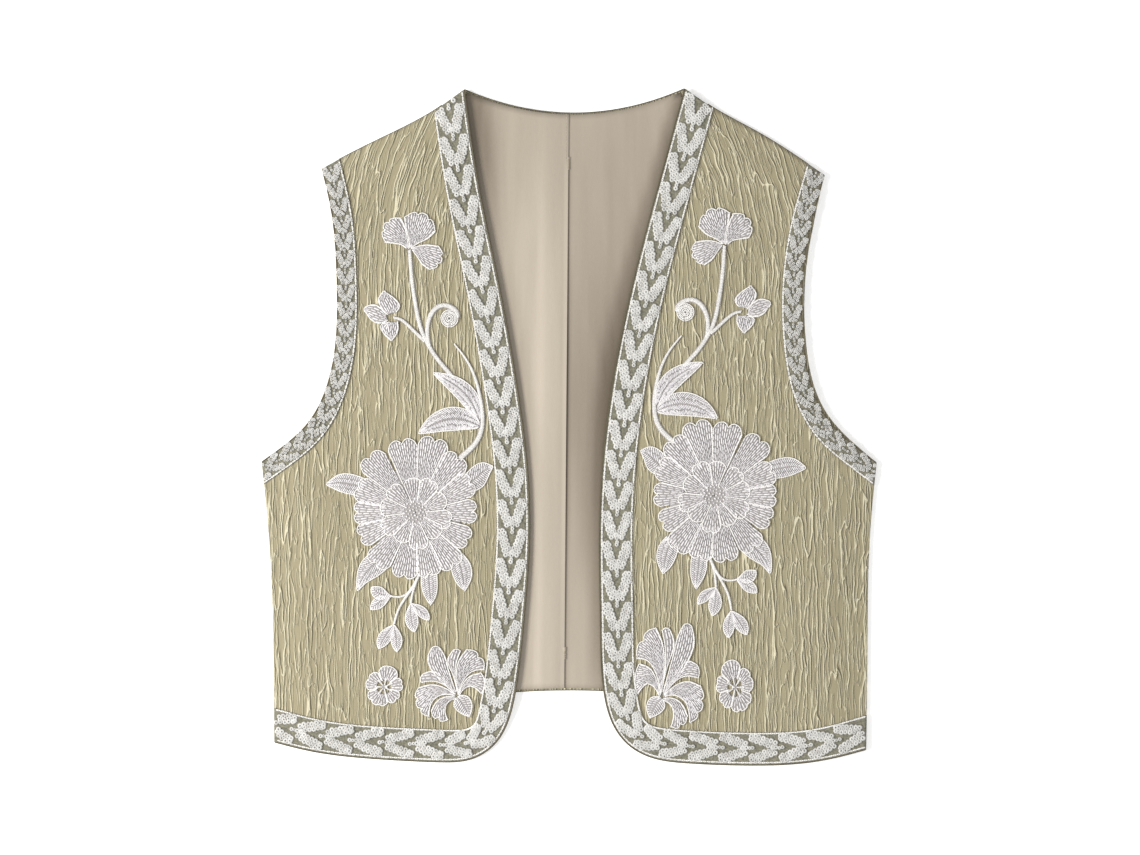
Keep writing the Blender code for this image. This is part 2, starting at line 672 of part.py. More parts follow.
def thin_out(angles, least):
    """Angles in order, with those closer together than a least step left out."""
    kept = []
    for angle in sorted(angle % (2 * math.pi) for angle in angles):
        if not kept or angle - kept[-1] > least:
            kept.append(angle)
    if kept[0] + 2 * math.pi - kept[-1] < least:
        kept.pop()
    return np.array(kept)


def petal_outline(petal):
    """Half of a petal's outline, as angles off its middle line and the radius at each."""
    along = np.linspace(0.02, 1, 60)
    pointed = np.sin(math.pi * along**1.25) ** 0.8
    round_end = np.sqrt(np.clip(1 - ((along - 0.62) / 0.38) ** 2, 0, 1))
    blunted = pointed + (round_end - pointed) * petal.blunt
    half = 0.5 * petal.width * np.where(along > 0.62, blunted, pointed)
    turn, reach = np.arctan2(half, along * petal.length), np.hypot(half, along * petal.length)
    order = np.argsort(turn)
    return turn[order], reach[order]


def make_petals(front, name, centre, petals, rise, least, rings, height=1.0):
    """A flower of petals from one point; rings holds shares of the outline and of the rise."""
    halves = [petal_outline(petal) for petal in petals]
    angles = list(np.arange(0, 2 * math.pi, math.radians(38)))
    for petal, (turn, _) in zip(petals, halves):
        angles += [math.radians(petal.turn) + turn[-1] * step for step in PETAL_STEPS]
    angles = thin_out(angles, PETAL_STEP_LEAST)
    radii = np.full(len(angles), least)
    for petal, (turn, reach) in zip(petals, halves):
        off = np.abs(away_from(angles, petal.turn))
        radii = np.maximum(radii, np.where(off < turn[-1], np.interp(off, turn, reach), 0))
    outline = np.stack([radii * np.cos(angles), radii * np.sin(angles) * height], axis=1)
    tiers = [(share, EDGE_RISE + (rise - EDGE_RISE) * part) for share, part in rings]
    make_pad(front, name, front.place(centre), outline, tiers, (1.0,) if len(rings) < 3 else (1.0, 0.5))


def make_great_flower(front):
    """Many-petalled flower with an inner ring, a knotted heart and leafy sepals."""
    count = FLOWER_SCALLOPS * FLOWER_SAMPLES
    angles = [k * 2 * math.pi / count for k in range(count)]
    for sepal in SEPALS:
        angles += [math.radians(sepal.turn + d) for d in (-0.55 * sepal.before, 0, 0.55 * sepal.after)]
    angles = thin_out(angles, math.radians(1.6))
    oval = 1 / np.hypot(np.cos(angles) / FLOWER_HALF_WIDTH, np.sin(angles) / FLOWER_HALF_HEIGHT)
    rim = oval * (0.93 + 0.07 * np.abs(np.sin(0.5 * FLOWER_SCALLOPS * angles)) ** 0.7)
    radii = rim.copy()
    for sepal in SEPALS:
        off = np.degrees(away_from(angles, sepal.turn))
        share = np.clip(np.where(off < 0, -off / sepal.before, off / sepal.after), 0, 1)
        leaf = 0.9 * oval + (sepal.reach - 0.9 * oval) * (1 - share**SEPAL_CURVE)
        radii = np.maximum(radii, leaf)
    petal = np.abs(np.sin(0.5 * INNER_PETALS * angles)) ** 0.7
    inner = INNER_RING * oval / oval.mean() / radii
    rings = (
        (0.42 * inner, 2.2),
        (0.52 * inner, 1.5),
        (0.97 * inner, 1.4 + 0.7 * petal),
        (1.1 * inner, 1.3),
        (1.0, EDGE_RISE),
    )
    outline = np.stack([radii * np.cos(angles), radii * np.sin(angles)], axis=1)
    name = f"{front.name}_great_flower"
    make_pad(front, name, front.place(FLOWER_CENTRE), outline, rings, (1.0, 0.7, 0.35))


def make_ribbon(front, name, points, stations, half_widths, section, rise):
    """Stitched stem or leaf: one section carried along a centre line."""
    line = Curve([front.place(point) for point in points])
    shares = np.linspace(0, 1, stations)
    loops = []
    for part in section:
        plan = line.left_of(shares, part.across * half_widths)
        loops.append(raise_points(front, plan[:, 0], plan[:, 1], np.full(stations, part.rise * rise)))
    loops = np.array(loops).transpose(1, 0, 2)
    size = len(section)
    faces = []
    for j in range(stations - 1):
        for i in range(size):
            after = (i + 1) % size
            near, far = j * size, (j + 1) * size
            faces.append((near + i, near + after, far + after, far + i))
    faces.append(tuple(range(size)))
    faces.append(tuple((stations - 1) * size + i for i in range(size)))
    add_object(f"{front.name}_{name}", loops.reshape(-1, 3), faces, "white_thread", closed=True)


def make_embroidery(front):
    """All the raised flowers, leaves and stems of one front."""
    prefix = front.name
    flowers = (
        ("fan_flower", (124.8, 138.4), FAN_PETALS, 2.6, FLOWER_RINGS, 1.0),
        ("trefoil", (140.8, 87.2), TREFOIL_PETALS, 2.4, BUD_RINGS, 1.0),
        ("palmette", (88.1, -210.3), PALMETTE_PETALS, 2.0, FLOWER_RINGS, front.palmette_height),
        ("rosette", (145.4, -201.3), ROSETTE_PETALS, 8.0, BUD_RINGS, front.rosette_height),
    )
    for name, centre, petals, least, rings, height in flowers:
        make_petals(front, f"{prefix}_{name}", centre, petals, PETAL_RISE, least, rings, height)
    for bud in BUDS:
        make_petals(front, f"{prefix}_{bud.name}", bud.base, bud.petals, LEAF_RISE, 1.2, BUD_RINGS)
    make_great_flower(front)
    for stem in STEMS:
        widths = np.interp(np.linspace(0, 1, stem.stations), (0, 0.5, 1), stem.widths)
        make_ribbon(front, stem.name, stem.points, stem.stations, widths / 2, STEM_SECTION, STEM_RISE)
    for leaf in LEAVES:
        shares = np.linspace(0, 1, leaf.stations)
        half = 0.5 * leaf.width * np.sin(math.pi * shares**0.85) ** 0.75
        half = np.maximum(half, 0.4)
        make_ribbon(front, leaf.name, leaf.points, leaf.stations, half, LEAF_SECTION, LEAF_RISE)


def main():
    """Build the whole waistcoat."""
    for old in list(bpy.data.objects):
        bpy.data.objects.remove(old, do_unlink=True)
    fronts = [Front(RIGHT), Front(LEFT)]
    make_back(fronts)
    make_lining(fronts)
    for front in fronts:
        make_front(front)
        make_bands(front)
        make_embroidery(front)


main()
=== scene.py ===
"""Looks of the embroidered open-front waistcoat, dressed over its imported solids.

The waistcoat lies flat with its fronts uppermost: +Y points to the neck, +Z up, and the
wearer's right front is at -X.  Tables are in millimetres, and a front's own tables give x as
the distance from the centre line, so that both fronts are drawn by the same classes.
"""

import logging
import math
from dataclasses import dataclass, field
from enum import Enum
from typing import Any, Callable, Sequence

import bmesh
import bpy
import numpy as np
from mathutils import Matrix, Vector


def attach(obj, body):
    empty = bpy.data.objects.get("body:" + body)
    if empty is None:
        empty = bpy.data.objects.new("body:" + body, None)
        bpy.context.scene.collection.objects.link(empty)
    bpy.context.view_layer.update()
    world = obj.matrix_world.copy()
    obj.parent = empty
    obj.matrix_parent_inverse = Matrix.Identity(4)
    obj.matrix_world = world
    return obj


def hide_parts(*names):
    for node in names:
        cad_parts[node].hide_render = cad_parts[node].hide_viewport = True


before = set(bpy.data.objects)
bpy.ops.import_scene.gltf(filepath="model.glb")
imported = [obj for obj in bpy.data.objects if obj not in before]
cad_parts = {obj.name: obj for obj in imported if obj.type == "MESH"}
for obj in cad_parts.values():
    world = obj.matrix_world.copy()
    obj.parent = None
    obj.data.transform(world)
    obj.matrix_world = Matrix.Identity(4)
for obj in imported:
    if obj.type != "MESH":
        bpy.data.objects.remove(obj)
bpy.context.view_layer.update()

Array = np.ndarray
Numbers = Array | float
Colour = tuple[float, float, float]
Place = tuple[float, float]
Material = bpy.types.Material
Piece = bpy.types.Object
Options = dict[str | int, Any] | None

log = logging.getLogger("waistcoat")

MM = 0.001
BODY = "root"
UP = (0.0, 0.0, 1.0)

# The photograph's frame and the lens above it
PHOTO_SIZE = (1140, 855)
MM_PER_PIXEL = 0.78
CAMERA_LENS = 85.0
CAMERA_SENSOR = 36.0

# Cloth walls and the gap under the lining, in millimetres, as in the solids
GAP = 0.3
BACK_WALL = 1.2
FRONT_WALL = 1.5
BAND_WALL = 1.2
FLOOR_CLEARANCE = 0.05

# How a front lies: low at its free edge, fuller inside, down on the back at the seams
EDGE_REST = 3.3
FULLNESS = 0.9
FULLNESS_REACH = 60.0
WAVE = 0.5
SEAM_ROLL = 30.0
SEAM_REST = BACK_WALL + GAP
NECK_SEAM_START = 37.0
OVERHANG_RUN = 34.0
NECK_DROP = 18.6
BACK_HEM_CENTRE = -205.0
UNDERARM_ROW = 0.46

# Crinkles lean to the neck above a height, and stand straight at the centre line
LEAN_START = 110
LEAN_RATE = 0.0016
LEAN_REACH = 35

# What each guide point carries for its stitch
GUIDE_FIELDS = ("stitch_heading", "stitch_up", "stitch_size")


def smooth(t: Numbers) -> Numbers:
    """Ease from 0 to 1 that starts and ends level."""
    return 0.5 - 0.5 * np.cos(math.pi * np.clip(t, 0.0, 1.0))


def linear(red: int, green: int, blue: int) -> Colour:
    """Linear colour from the 0 to 255 values that a screen shows."""
    parts = [value / 255 for value in (red, green, blue)]
    return tuple(p / 12.92 if p <= 0.04045 else ((p + 0.055) / 1.055) ** 2.4 for p in parts)


class Curve:
    """Natural cubic spline through points, read by the share of its length."""

    def __init__(self, points: Sequence[Sequence[float]]) -> None:
        """Fit the spline.

        Args:
            points: Places that it passes through, in order.
        """
        self.points = np.array(points, float)
        chords = np.linalg.norm(np.diff(self.points, axis=0), axis=1)
        self.knots = np.concatenate([[0.0], np.cumsum(chords)])
        count = len(self.knots)
        matrix = np.eye(count)
        right = np.zeros_like(self.points)
        for i in range(1, count - 1):
            before, after = chords[i - 1], chords[i]
            matrix[i, i - 1 : i + 2] = before, 2 * (before + after), after
            rise_after = (self.points[i + 1] - self.points[i]) / after
            rise_before = (self.points[i] - self.points[i - 1]) / before
            right[i] = 6 * (rise_after - rise_before)
        self.bends = np.linalg.solve(matrix, right)
        self.fine = np.linspace(0.0, self.knots[-1], 800)
        steps = np.linalg.norm(np.diff(self._read(self.fine), axis=0), axis=1)
        self.lengths = np.concatenate([[0.0], np.cumsum(steps)])
        self.length = float(self.lengths[-1])

    def _read(self, knot: Array) -> Array:
        """Points at places along the chords."""
        i = np.clip(np.searchsorted(self.knots, knot, side="right") - 1, 0, len(self.knots) - 2)
        span = (self.knots[i + 1] - self.knots[i])[:, None]
        b = (knot - self.knots[i])[:, None] / span
        a = 1 - b
        bend = (a**3 - a) * self.bends[i] + (b**3 - b) * self.bends[i + 1]
        return a * self.points[i] + b * self.points[i + 1] + bend * span**2 / 6

    def at(self, share: Numbers) -> Array:
        """Points at shares of the length, on straight lines before 0 and after 1."""
        place = np.atleast_1d(np.asarray(share, float)) * self.length
        points = self._read(np.interp(place, self.lengths, self.fine))
        ends = self._read(self.fine[[0, 1, -2, -1]])
        before, after = ends[1] - ends[0], ends[3] - ends[2]
        points = points + np.minimum(place, 0)[:, None] * before / np.linalg.norm(before)
        past = np.maximum(place - self.length, 0)[:, None]
        return points + past * after / np.linalg.norm(after)

    def heading(self, share: Numbers) -> Array:
        """Unit direction of travel at shares of the length."""
        share = np.atleast_1d(np.asarray(share, float))
        step = 0.5 / self.length
        run = self.at(share + step) - self.at(share - step)
        return run / np.linalg.norm(run, axis=1)[:, None]

    def left_of(self, share: Numbers, distance: Numbers) -> Array:
        """Points set off to the left of travel by a distance."""
        along = self.heading(share)
        aside = np.stack([-along[:, 1], along[:, 0]], axis=1)
        return self.at(share) + aside * np.reshape(distance, (-1, 1))


def distance_to(path: Array, x: Array, y: Array) -> Array:
    """Distance from points to a run of straight lines.

    Args:
        path: Corners of the run.
        x: First coordinates of the points.
        y: Second coordinates.

    Returns:
        One distance for each point.
    """
    best = np.full(np.shape(x), np.inf)
    for start, end in zip(path[:-1], path[1:]):
        run = end - start
        along = np.clip(((x - start[0]) * run[0] + (y - start[1]) * run[1]) / (run @ run), 0, 1)
        best = np.minimum(best, np.hypot(x - start[0] - along * run[0], y - start[1] - along * run[1]))
    return best


class Noise:
    """Smooth random values on a lattice of its own spacing across and along."""

    REACH = 330.0

    def __init__(self, across: float, along: float, seed: int) -> None:
        """Draw the lattice.

        Args:
            across: Lattice spacing in X, in millimetres.
            along: Lattice spacing in Y, in millimetres.
            seed: Fixed seed of the random values.
        """
        self.spacing = (across, along)
        count = [int(2 * self.REACH / step) + 3 for step in self.spacing]
        self.values = np.random.default_rng(seed).uniform(-1, 1, count)

    def at(self, x: Array, y: Array) -> Array:
        """Values from -1 to 1 at places."""
        corner, part = [], []
        for place, step, count in zip((x, y), self.spacing, self.values.shape):
            steps = (np.asarray(place) + self.REACH) / step
            low = np.clip(np.floor(steps).astype(int), 0, count - 2)
            share = np.clip(steps - low, 0, 1)
            corner.append(low)
            part.append(share * share * (3 - 2 * share))
        (i, j), (u, v) = corner, part
        low = self.values[i, j] * (1 - u) + self.values[i + 1, j] * u
        high = self.values[i, j + 1] * (1 - u) + self.values[i + 1, j + 1] * u
        return low * (1 - v) + high * v


class Crinkle:
    """Relief of the crinkled cloth: fine ridges that wander along its length."""

    def __init__(self, seed: int) -> None:
        """Draw the ridges from one seed."""
        self.fine = Noise(1.7, 15.0, seed)
        self.broad = Noise(3.1, 34.0, seed + 1)
        self.drift = Noise(21.0, 34.0, seed + 2)
        self.strength = Noise(30.0, 36.0, seed + 3)

    def at(self, x: Array, y: Array) -> Array:
        """Heights from about -1 to 1."""
        aside = x + 1.3 * self.drift.at(x, y)
        fine = 1 - 2 * np.abs(self.fine.at(aside, y)) ** 0.8
        broad = 1 - 2 * np.abs(self.broad.at(aside, y)) ** 0.8
        return (0.5 * fine + 0.5 * broad) * (0.75 + 0.4 * self.strength.at(x, y))


def drape(x: Array, y: Array) -> Array:
    """X in the cloth's own weave, whose crinkles lean to the neck near the shoulders."""
    return x + np.tanh(x / LEAN_REACH) * LEAN_RATE * np.maximum(y - LEAN_START, 0) ** 2


@dataclass(frozen=True)
class Crease:
    """Soft trough or ridge in laid cloth.

    Attributes:
        start: One end, x from the centre line and y.
        end: The other end.
        width: Distance from its middle to where it fades out.
        depth: Height at its middle, below zero for a trough.
    """

    start: Place
    end: Place
    width: float
    depth: float

    def at(self, x: Array, y: Array) -> Array:
        """Height that it adds at places."""
        path = np.array([self.start, self.end])
        run = path[1] - path[0]
        along = ((x - path[0, 0]) * run[0] + (y - path[0, 1]) * run[1]) / (run @ run)
        aside = distance_to(path, x, y) / self.width
        return self.depth * np.exp(-2.5 * aside**2) * smooth(2 - 2.4 * np.abs(along - 0.5) * 1.4)


@dataclass(frozen=True)
class FrontTables:
    """Outline of one front and the few sizes in which the two fronts differ."""

    name: str
    sign: int
    edge: tuple[Place, ...]
    shoulder: tuple[Place, ...]
    armhole: tuple[Place, ...]
    side_seam: tuple[Place, ...]
    back_hem_fall: float
    back_armhole_reach: float
    palmette_height: float
    rosette_height: float
    tape_phase: float
    creases: tuple[Crease, ...]


RIGHT = FrontTables(
    name="right",
    sign=-1,
    edge=(
        (82.1, 263.8), (72.3, 197), (52.6, 99), (41.1, 33), (32.9, -32),
        (31.3, -88), (35.2, -146), (41.2, -200), (46, -223), (57.5, -246),
        (77.2, -259), (104, -261.3), (151, -258.9), (195, -254), (230.7, -245.7),
    ),
    shoulder=((82.1, 263.8), (108.4, 246), (148, 225.5), (179, 209.9), (193.8, 201.7)),
    armhole=(
        (240.6, -26.5), (223.3, -14.2), (205.3, 2.2), (190.3, 30),
        (182.6, 66.3), (181.7, 115), (186, 168), (193.8, 201.7),
    ),
    side_seam=((230.7, -245.7), (231.5, -170), (234.8, -88), (240.6, -26.5)),
    back_hem_fall=40,
    back_armhole_reach=0.8,
    palmette_height=1,
    rosette_height=1,
    tape_phase=0.36,
    creases=(
        Crease((205, -18), (168, -72), 11, -0.7),
        Crease((219, -60), (196, -170), 13, -0.6),
        Crease((165, 40), (150, 96), 10, 0.5),
        Crease((118, 170), (96, 228), 12, -0.5),
        Crease((176, -150), (182, -226), 12, 0.5),
        Crease((63, -30), (58, -150), 9, -0.45),
    ),
)
LEFT = FrontTables(
    name="left",
    sign=1,
    edge=(
        (89.1, 264.4), (70.8, 197), (45.6, 99), (32.8, 33), (24.9, -32),
        (22.6, -88), (23.4, -154), (26.7, -209.6), (31.9, -228.5), (43.5, -246),
        (62, -257.3), (90.7, -262.1), (140, -263.9), (192, -260.8), (231, -251.5),
    ),
    shoulder=((89.1, 264.4), (109.6, 250.9), (150, 228.5), (186.7, 205), (198.7, 196.8)),
    armhole=(
        (239.2, -27.3), (222, -14.2), (205.6, 0.5), (190, 27),
        (182.2, 64), (180.8, 105), (186.5, 152), (198.7, 196.8),
    ),
    side_seam=((231, -251.5), (232, -187), (234.3, -81.5), (239.2, -27.3)),
    back_hem_fall=43,
    back_armhole_reach=2.4,
    palmette_height=1.24,
    rosette_height=1.3,
    tape_phase=0.04,
    creases=(
        Crease((209, -24), (180, -66), 12, -0.65),
        Crease((222, -84), (207, -196), 12, -0.6),
        Crease((160, 60), (158, 128), 11, 0.5),
        Crease((110, 205), (92, 150), 10, -0.45),
        Crease((168, -120), (178, -214), 14, 0.5),
        Crease((54, 10), (50, -120), 9, -0.4),
    ),
)


@dataclass(frozen=True)
class Shift:
    """How far the left front's embroidery lies from the right front's, at one height."""

    y: float
    out: float
    up: float


LEFT_SHIFT = (
    Shift(-205, -16.5, -1), Shift(-150, -11, 11.6), Shift(-120, -9, 13.7),
    Shift(-63, -7.5, 13), Shift(3, -2.3, 11.8), Shift(50, -3, 7.5),
    Shift(88, -4, 4.6), Shift(138, -4.5, 3.4),
)


class FrontForm:
    """Outline curves of one front and the surface that everything on it follows."""

    def __init__(self, tables: FrontTables) -> None:
        """Take one front's tables."""
        self.tables = tables
        self.name, self.sign = tables.name, tables.sign
        self.edge = Curve(tables.edge)
        self.shoulder = Curve(tables.shoulder)
        self.armhole = Curve(tables.armhole)
        self.side_seam = Curve(tables.side_seam)
        self.hem_half_width = tables.side_seam[0][0]
        shares = np.linspace(0, 1, 400)
        turn = self.edge.heading(shares)
        self.corner = float(shares[np.argmax(turn[:, 0] + turn[:, 1] > 0)])
        self.edge_line = self.edge.at(np.linspace(0, 1, 36))
        seam_start = NECK_SEAM_START / self.shoulder.length
        self.seam_lines = (
            self.shoulder.at(np.linspace(seam_start, 1, 8)),
            self.side_seam.at(np.linspace(0, 1, 8)),
        )

    def back_hem(self, x: Numbers) -> Numbers:
        """The back's hem, shorter at the centre than at the side seams."""
        return BACK_HEM_CENTRE - self.tables.back_hem_fall * (x / self.hem_half_width) ** 2

    def underside(self, x: Array, y: Array) -> Array:
        """Height of the front's lower face."""
        inside = smooth(distance_to(self.edge_line, x, y) / FULLNESS_REACH)
        turn = 2 * math.pi
        waves = 0.6 * np.sin(turn * (x / 124 + y / 310) + self.sign)
        waves = waves + 0.4 * np.sin(turn * (x / 170 - y / 230) + 2.1 * self.sign)
        height = EDGE_REST + (FULLNESS + WAVE * waves) * inside
        for crease in self.tables.creases:
            height = height + crease.at(x, y) * inside
        from_seam = np.minimum(*[distance_to(line, x, y) for line in self.seam_lines])
        height = SEAM_REST + (height - SEAM_REST) * smooth(from_seam / SEAM_ROLL)
        overhang = smooth((self.back_hem(x) - y) / OVERHANG_RUN)
        return height + (FLOOR_CLEARANCE - height) * overhang

    def top(self, x: Array, y: Array) -> Array:
        """Height of the front's upper face, one wall along the normal above the lower one."""
        step = 0.5
        low = self.underside(x, y)
        slope_x = (self.underside(x + step, y) - low) / step
        slope_y = (self.underside(x, y + step) - low) / step
        return low + FRONT_WALL * np.sqrt(1 + slope_x**2 + slope_y**2)

    def outer_edge(self, rows: Array) -> Array:
        """Side seam and armhole as one side of the front, with a row at the underarm."""
        below = self.side_seam.at(np.clip(rows / UNDERARM_ROW, 0, 1))
        above = self.armhole.at(np.clip((rows - UNDERARM_ROW) / (1 - UNDERARM_ROW), 0, 1))
        return np.where((rows <= UNDERARM_ROW)[:, None], below, above)

    def place(self, point: Place) -> Array:
        """Where a point of the embroidery falls on this front."""
        x, y = point
        if self.sign > 0:
            levels = [row.y for row in LEFT_SHIFT]
            x += float(np.interp(point[1], levels, [row.out for row in LEFT_SHIFT]))
            y += float(np.interp(point[1], levels, [row.up for row in LEFT_SHIFT]))
        return np.array([x, y])

    def lift(self, plan: Array, rise: Numbers) -> Array:
        """World points at a rise above this front's cloth, from its own x and y."""
        x, y = plan[..., 0], plan[..., 1]
        return np.stack([x * self.sign, y, self.top(x, y) + rise], axis=-1)


def underarm_rows(below: int, above: int) -> Array:
    """Shares up a side of the waistcoat, with one row at the underarm."""
    return np.concatenate([np.linspace(0, UNDERARM_ROW, below), np.linspace(UNDERARM_ROW, 1, above)[1:]])


def blend_sides(
    bottom: Array, top: Array, inner: Array, outer: Array, across: Array, up: Array
) -> Array:
    """Grid that fills four curved sides.

    Args:
        bottom: Points along the low side, one for each column.
        top: Points along the high side.
        inner: Points up the first side, one for each row.
        outer: Points up the last side.
        across: Share across of each column.
        up: Share up of each row.

    Returns:
        Points as rows by columns by two.
    """
    u, v = across[None, :, None], up[:, None, None]
    bottom, top = bottom[None], top[None]
    inner, outer = inner[:, None], outer[:, None]
    ruled = (1 - v) * bottom + v * top + (1 - u) * inner + u * outer
    low = (1 - u) * bottom[:, :1] + u * bottom[:, -1:]
    high = (1 - u) * top[:, :1] + u * top[:, -1:]
    return ruled - (1 - v) * low - v * high


def grid_faces(rows: int, columns: int, first: int = 0) -> Array:
    """Quads of a grid of points stored row by row, from a first index."""
    starts = np.arange(rows - 1)[:, None] * columns + np.arange(columns - 1)[None, :]
    corner = starts.ravel() + first
    return np.stack([corner, corner + 1, corner + columns + 1, corner + columns], axis=1)


def shell_faces(rows: int, columns: int) -> Array:
    """Quads of a closed shell: an upper grid, then a lower one of the same size."""
    upper = grid_faces(rows, columns)
    lower = grid_faces(rows, columns, rows * columns)[:, ::-1]
    border = list(range(columns)) + [j * columns + columns - 1 for j in range(1, rows)]
    border += [(rows - 1) * columns + i for i in range(columns - 2, -1, -1)]
    border += [j * columns for j in range(rows - 2, 0, -1)]
    near = np.array(border)
    far = np.roll(near, -1)
    wall = np.stack([far, near, near + rows * columns, far + rows * columns], axis=1)
    return np.concatenate([upper, lower, wall])


def add_object(name: str, data: bpy.types.ID) -> Piece:
    """Object at the origin that carries the data."""
    made = bpy.data.objects.new(name, data)
    bpy.context.scene.collection.objects.link(made)
    return made


def add_mesh(name: str, points: Array, faces: Array, material: Material) -> Piece:
    """Object at the origin from points in millimetres.

    Args:
        name: Name of the object and its mesh.
        points: World points, in millimetres.
        faces: Four or three corners for each face.
        material: Finish of the whole piece.

    Returns:
        The new object, with its faces turned outwards.
    """
    mesh = bpy.data.meshes.new(name)
    mesh.vertices.add(len(points))
    mesh.vertices.foreach_set("co", (np.asarray(points, float) * MM).ravel())
    faces = np.asarray(faces)
    mesh.loops.add(faces.size)
    mesh.loops.foreach_set("vertex_index", faces.ravel())
    mesh.polygons.add(len(faces))
    mesh.polygons.foreach_set("loop_start", np.arange(len(faces)) * faces.shape[1])
    mesh.update(calc_edges=True)
    mesh.validate()
    turn_outwards(mesh)
    mesh.shade_smooth()
    mesh.materials.append(material)
    return add_object(name, mesh)


def add_shell(name: str, shown: Array, under: Array, material: Material) -> Piece:
    """Closed shell between two grids.

    Args:
        name: Name of the piece.
        shown: World points of its upper face, rows by columns, in millimetres.
        under: World points of its lower face.
        material: Finish of the piece.

    Returns:
        The new object.
    """
    points = np.concatenate([shown.reshape(-1, 3), under.reshape(-1, 3)])
    return add_mesh(name, points, shell_faces(*shown.shape[:2]), material)


def turn_outwards(mesh: bpy.types.Mesh) -> None:
    """Turn a closed mesh's faces outwards."""
    shape = bmesh.new()
    shape.from_mesh(mesh)
    bmesh.ops.recalc_face_normals(shape, faces=shape.faces)
    shape.to_mesh(mesh)
    shape.free()


def store(mesh: bpy.types.Mesh, key: str, values: Array) -> None:
    """Keep a number or a vector for each point of a mesh.

    Args:
        mesh: The mesh.
        key: Name of the attribute.
        values: One row for each point where it is a vector.
    """
    kind, slot = ("FLOAT_VECTOR", "vector") if values.ndim > 1 else ("FLOAT", "value")
    layer = mesh.attributes.new(key, kind, "POINT")
    layer.data.foreach_set(slot, values.astype(np.float32).ravel())


def join(name: str, pieces: list[Piece]) -> Piece:
    """Join objects into the first one.

    Args:
        name: Name that the joined object gets.
        pieces: The objects.

    Returns:
        The joined object.
    """
    first = pieces[0]
    chosen = {"selected_objects": pieces, "selected_editable_objects": pieces}
    if len(pieces) > 1:
        with bpy.context.temp_override(active_object=first, object=first, **chosen):
            bpy.ops.object.join()
    first.name = name
    first.data.name = name
    return first


def finish_piece(piece: Piece, nodes: Sequence[str] = ()) -> None:
    """Set a piece on its body, over the nodes that it stands for, and report it.

    Args:
        piece: The finished piece.
        nodes: Names of the CAD nodes that it replaces.
    """
    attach(piece, BODY)
    if nodes:
        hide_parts(*nodes)
    count = sum(len(face.vertices) - 2 for face in piece.data.polygons)
    log.info("%s: %d triangles", piece.name, count)


def cut_area(plan: Array) -> float:
    """Area in square metres inside the border of a grid of points in millimetres."""
    ring = np.concatenate([plan[0], plan[1:, -1], plan[-1, -2::-1], plan[-2:0:-1, 0]])
    x, y = ring[:, 0], ring[:, 1]
    return abs(0.5 * float(np.sum(x * np.roll(y, -1) - y * np.roll(x, -1)))) * MM * MM


class Socket:
    """One value in a shader; arithmetic on it adds Math nodes."""

    def __init__(self, shader: "Shader", socket: bpy.types.NodeSocket) -> None:
        """Wrap an output socket of a shader's node."""
        self.shader = shader
        self.socket = socket

    def __add__(self, other: "Socket | float") -> "Socket":
        """Sum."""
        return self.shader.maths("ADD", self, other)

    def __radd__(self, other: float) -> "Socket":
        """Sum with a number first."""
        return self.shader.maths("ADD", other, self)

    def __sub__(self, other: "Socket | float") -> "Socket":
        """Difference."""
        return self.shader.maths("SUBTRACT", self, other)

    def __rsub__(self, other: float) -> "Socket":
        """Difference from a number."""
        return self.shader.maths("SUBTRACT", other, self)

    def __mul__(self, other: "Socket | float") -> "Socket":
        """Product."""
        return self.shader.maths("MULTIPLY", self, other)

    def __rmul__(self, other: float) -> "Socket":
        """Product with a number first."""
        return self.shader.maths("MULTIPLY", other, self)

    def __truediv__(self, other: "Socket | float") -> "Socket":
        """Quotient."""
        return self.shader.maths("DIVIDE", self, other)

    def clamped(self) -> "Socket":
        """The value held between 0 and 1."""
        return self.shader.maths("MINIMUM", self.shader.maths("MAXIMUM", self, 0.0), 1.0)

    def away(self) -> "Socket":
        """The value without its sign."""
        return self.shader.maths("ABSOLUTE", self, 0.0)


class NodeTree:
    """Node tree that is filled by plain calls."""

    def __init__(self, tree: bpy.types.NodeTree) -> None:
        """Take the tree."""
        self.tree = tree

    def add(
        self, kind: str, settings: Options = None, values: Options = None, output: str | int = 0
    ) -> bpy.types.NodeSocket:
        """Add a node.

        Args:
            kind: Blender's type name of the node.
            settings: Options of the node, set before its sockets.
            values: Numbers or links of its input sockets.
            output: Output that is handed back.

        Returns:
            The chosen output.
        """
        node = self.tree.nodes.new(kind)
        for key, value in (settings or {}).items():
            setattr(node, key, value)
        for key, value in (values or {}).items():
            value = value.socket if isinstance(value, Socket) else value
            if isinstance(value, bpy.types.NodeSocket):
                self.tree.links.new(value, node.inputs[key])
            else:
                node.inputs[key].default_value = value
        return node.outputs[output]


